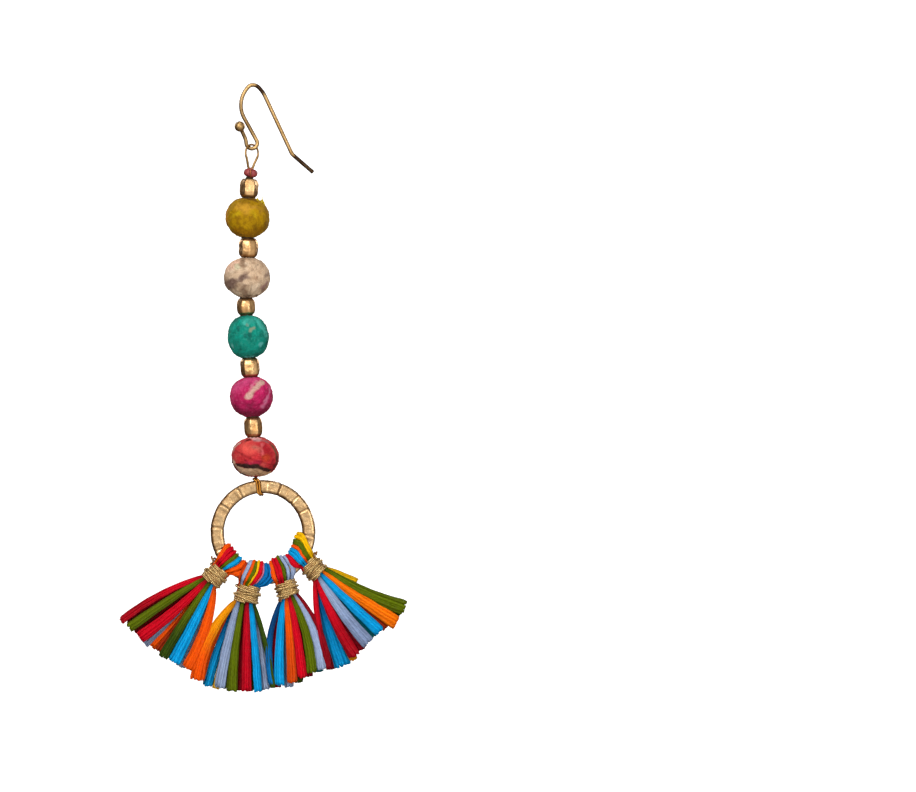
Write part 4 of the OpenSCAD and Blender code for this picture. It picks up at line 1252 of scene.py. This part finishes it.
# Loose ends of a tassel's binding thread: places along, across and to the back of its neck
THREAD_ENDS = {
    1: [
        (-1.6, -1.7, -0.5), (-2.2, -2.5, -0.8), (-2.7, -2.5, -0.4), (-2.6, -2.1, -0.1), (-2.2, -2.2, -0.4),
        (-2.3, -2.9, -0.7), (-2.6, -3.2, -0.6),
    ],
    3: [(0.9, -1.9, -0.4), (1.5, -2.2, -0.7), (1.7, -1.9, -1.0), (1.3, -1.6, -1.2)],
    4: [
        (-1.6, 1.6, -0.9), (-2.0, 1.9, -1.2), (-2.4, 2.2, -0.9), (-2.2, 2.5, -0.7), (-1.9, 2.3, -0.9),
        (-2.3, 2.9, -0.8),
    ],
}


def binding(number, finish):
    """Thread wound round the neck: a helix on an oval, with uneven pitch, then turns that cross it
    slantwise on top, and the thread's loose ends."""
    t = TASSELS[number - 1]
    length = t.near + t.far
    draw = np.random.default_rng(200 + number)
    flat, rounding = t.width / 2 - WIND_Y, WIND_Y - THREAD_R
    axis = down(t.lean)
    skin = Skin()

    def wind(path, worn, scale, seed):
        """Two-ply thread along a path, worn in patches."""
        wear = worn + 0.2 * noise(path, scale, seed + number)
        skin.add(tube(path, axis, THREAD_R, 8, groove=0.1, lay=0.7), wear=wear[:, None])

    turns = round(length / WIND_PITCH)
    f = np.linspace(0, turns, turns * 56)
    x, y = stadium(f, flat, rounding)
    along = blend(THREAD_R - t.near, t.far - THREAD_R, f / turns)
    along = along + 0.07 * np.sin(2 * math.pi * f * 0.83 + draw.uniform(0, 6)) * np.sin(math.pi * f / turns)
    swell = 1 + 0.05 * np.sin(2 * math.pi * f / turns + draw.uniform(0, 6))
    wind(neck_point(t, along, x * swell, y * swell), 0.79, 1.1, 300)
    reach = 0.36 * (length - THREAD_R)
    f = np.linspace(0, 1.5, 120)
    for cross, (begin, slope) in enumerate(((draw.uniform(0, 0.3), -1), (draw.uniform(0.4, 0.8), 1))):
        x, y = stadium(f + begin, flat, rounding + 0.3 + 0.12 * cross)
        along = (t.far - t.near) / 2 + slope * blend(-reach, reach, f / 1.5) + 0.1 * np.sin(5 * f)
        wind(neck_point(t, along, x, y), 0.76, 0.9, 310 + cross)
    if number in THREAD_ENDS:
        path = through(neck_point(t, *np.array(THREAD_ENDS[number]).T), 70)
        reference = np.array([0.2, 1.0, 0.1])
        skin.add(tube(path, reference, 0.19, 8, groove=0.12, lay=0.8), wear=1.0)
    skin.piece(f"binding_{number}_thread", finish, "gold_thread", f"binding_{number}")


# Stage

def make_camera():
    """Level camera at the picture's angle. Its lens takes in the frame's width at the object."""
    lens = bpy.data.cameras.new("camera")
    lens.sensor_width = SENSOR
    lens.lens = SENSOR * CAMERA_AWAY / FRAME_WIDTH
    lens.clip_start, lens.clip_end = 0.05, 20
    camera = bpy.data.objects.new("camera", lens)
    camera.location = (SIGHT[0] * MM, -CAMERA_AWAY * MM, SIGHT[1] * MM)
    camera.rotation_euler = (math.pi / 2, 0, 0)
    bpy.context.scene.collection.objects.link(camera)
    bpy.context.scene.camera = camera


def make_bowl():
    """Pale floor that curves up into a round wall: a flat disc, a quarter circle and a rise."""
    floor_z, flat_r, bend_r, top = -750, 1500, 500, 2600
    a = np.radians(np.linspace(0, 90, 13))[1:]
    flat, wall = np.linspace(100, flat_r, 6), np.linspace(300, top, 3)
    r = np.concatenate([[2], flat, flat_r + bend_r * np.sin(a), [flat_r + bend_r] * len(wall)])
    z = np.concatenate([[floor_z] * (1 + len(flat)), floor_z + bend_r * (1 - np.cos(a)), wall])
    skin = Skin()
    skin.add(turn_profile(r, z, 96), (False, True))
    f = Finish("pale_backdrop")
    cloud = f.noise(f.place((MM, MM, MM)), 3, 2)
    shade = f.mix(cloud, (250, 250, 250), (246, 246, 247))
    finish = f.shine(
        Base_Color=shade, Roughness=0.9, Emission_Color=shade, Emission_Strength=0.72, Specular_IOR_Level=0.0
    )
    bowl = skin.make_object("pale_floor", finish)
    bowl.visible_glossy = bowl.visible_diffuse = bowl.visible_shadow = False


def make_world():
    """Light from all round for gloss: bright towards the camera's side and above, warm and dark at the
    sides and behind, so that round metal is pale in the middle and brown at its edges. Two slanting dark
    flags in front give flat metal its darker facets."""
    world = bpy.data.worlds.new("studio")
    bpy.context.scene.world = world
    f = Finish("studio", world)
    way = f.add("ShaderNodeTexCoord", out="Generated")
    x, y, z = f.parts(way)
    front = (x * 0.2 - y).between(-0.1, 0.62)
    behind = y.between(0.45, 0.95)
    above = z.between(0.35, 0.9)
    reach = x * x + z * z
    slant = (x * z * 2 / (reach + 0.001)).between(0.86, 0.96)
    flags = slant * reach.between(0.015, 0.04) * front.between(0, 0.1)
    light = (front * 0.8 + above * 0.2) * (1 - flags * 0.93) + behind * 0.12 + 0.08
    tone = f.mix(light.between(0.12, 0.7), (150, 108, 80), (255, 253, 250))
    glow = f.add("ShaderNodeBackground", {}, {"Color": tone, "Strength": light})
    f.add("ShaderNodeOutputWorld", {}, {"Surface": glow})


# Soft lights: place, size, power, in millimetres and watts, all aimed at the middle of the earring
MIDDLE = (0, 0, -60.0)
LIGHTS = [
    ("key_light", (-420, -1050, 420), 420, 8.0),
    ("fill_light", (520, -1000, 60), 500, 3.5),
    ("top_light", (0, -350, 850), 400, 2.0),
    ("left_back_light", (-700, 800, 300), 420, 3.0),
    ("right_back_light", (700, 850, 250), 420, 3.0),
    ("behind_light", (0, 1150, 320), 400, 5.0),
]


def make_lights():
    """Disk lamps. A lamp shines down its own -z axis, which is tipped and then turned to the middle."""
    for name, place, size, power in LIGHTS:
        lamp = bpy.data.lights.new(name, "AREA")
        lamp.shape = "DISK"
        lamp.size = size * MM
        lamp.energy = power
        light = bpy.data.objects.new(name, lamp)
        light.location = [v * MM for v in place]
        x, y, z = np.array(MIDDLE) - place
        light.rotation_euler = (math.atan2(math.hypot(x, y), -z), 0, math.atan2(-x, y))
        bpy.context.scene.collection.objects.link(light)


# Assembly

make_camera()
make_world()
make_lights()
make_bowl()
bpy.context.scene.view_settings.view_transform = "Standard"

ear_hook(gold("ear_wire_gold", (190, 156, 106), (158, 124, 76), 0.36, 0.01, (1, 1, 0.3)))
loop_wire(gold("fine_wire_gold", (172, 136, 86), (136, 100, 56), 0.36, 0.01))
ring_turns(gold("turns_bronze", (194, 134, 56), (150, 96, 36), 0.32, 0.015))
string_core(dull("string_thread", (70, 54, 24), (40, 30, 16)))
copper = gold("strap_copper", (184, 108, 74), (132, 64, 40), 0.4, 0.015)
stopper(dull("stopper_pink", (158, 62, 60), (98, 22, 36), 0.4), copper)

metal = gold("bead_gold", (214, 174, 122), (184, 136, 84), 0.32, 0.015, (1.4, 1.4, 0.5))
for number in range(1, len(SPACERS) + 1):
    spacer_bead(number, metal)
for which in CLOTH_BEADS:
    cloth_bead(which)

fringe_ring(ring_gold())
strands, gilt = floss(), gold_thread()
for number in range(1, len(TASSELS) + 1):
    tassel(number, strands)
    binding(number, gilt)
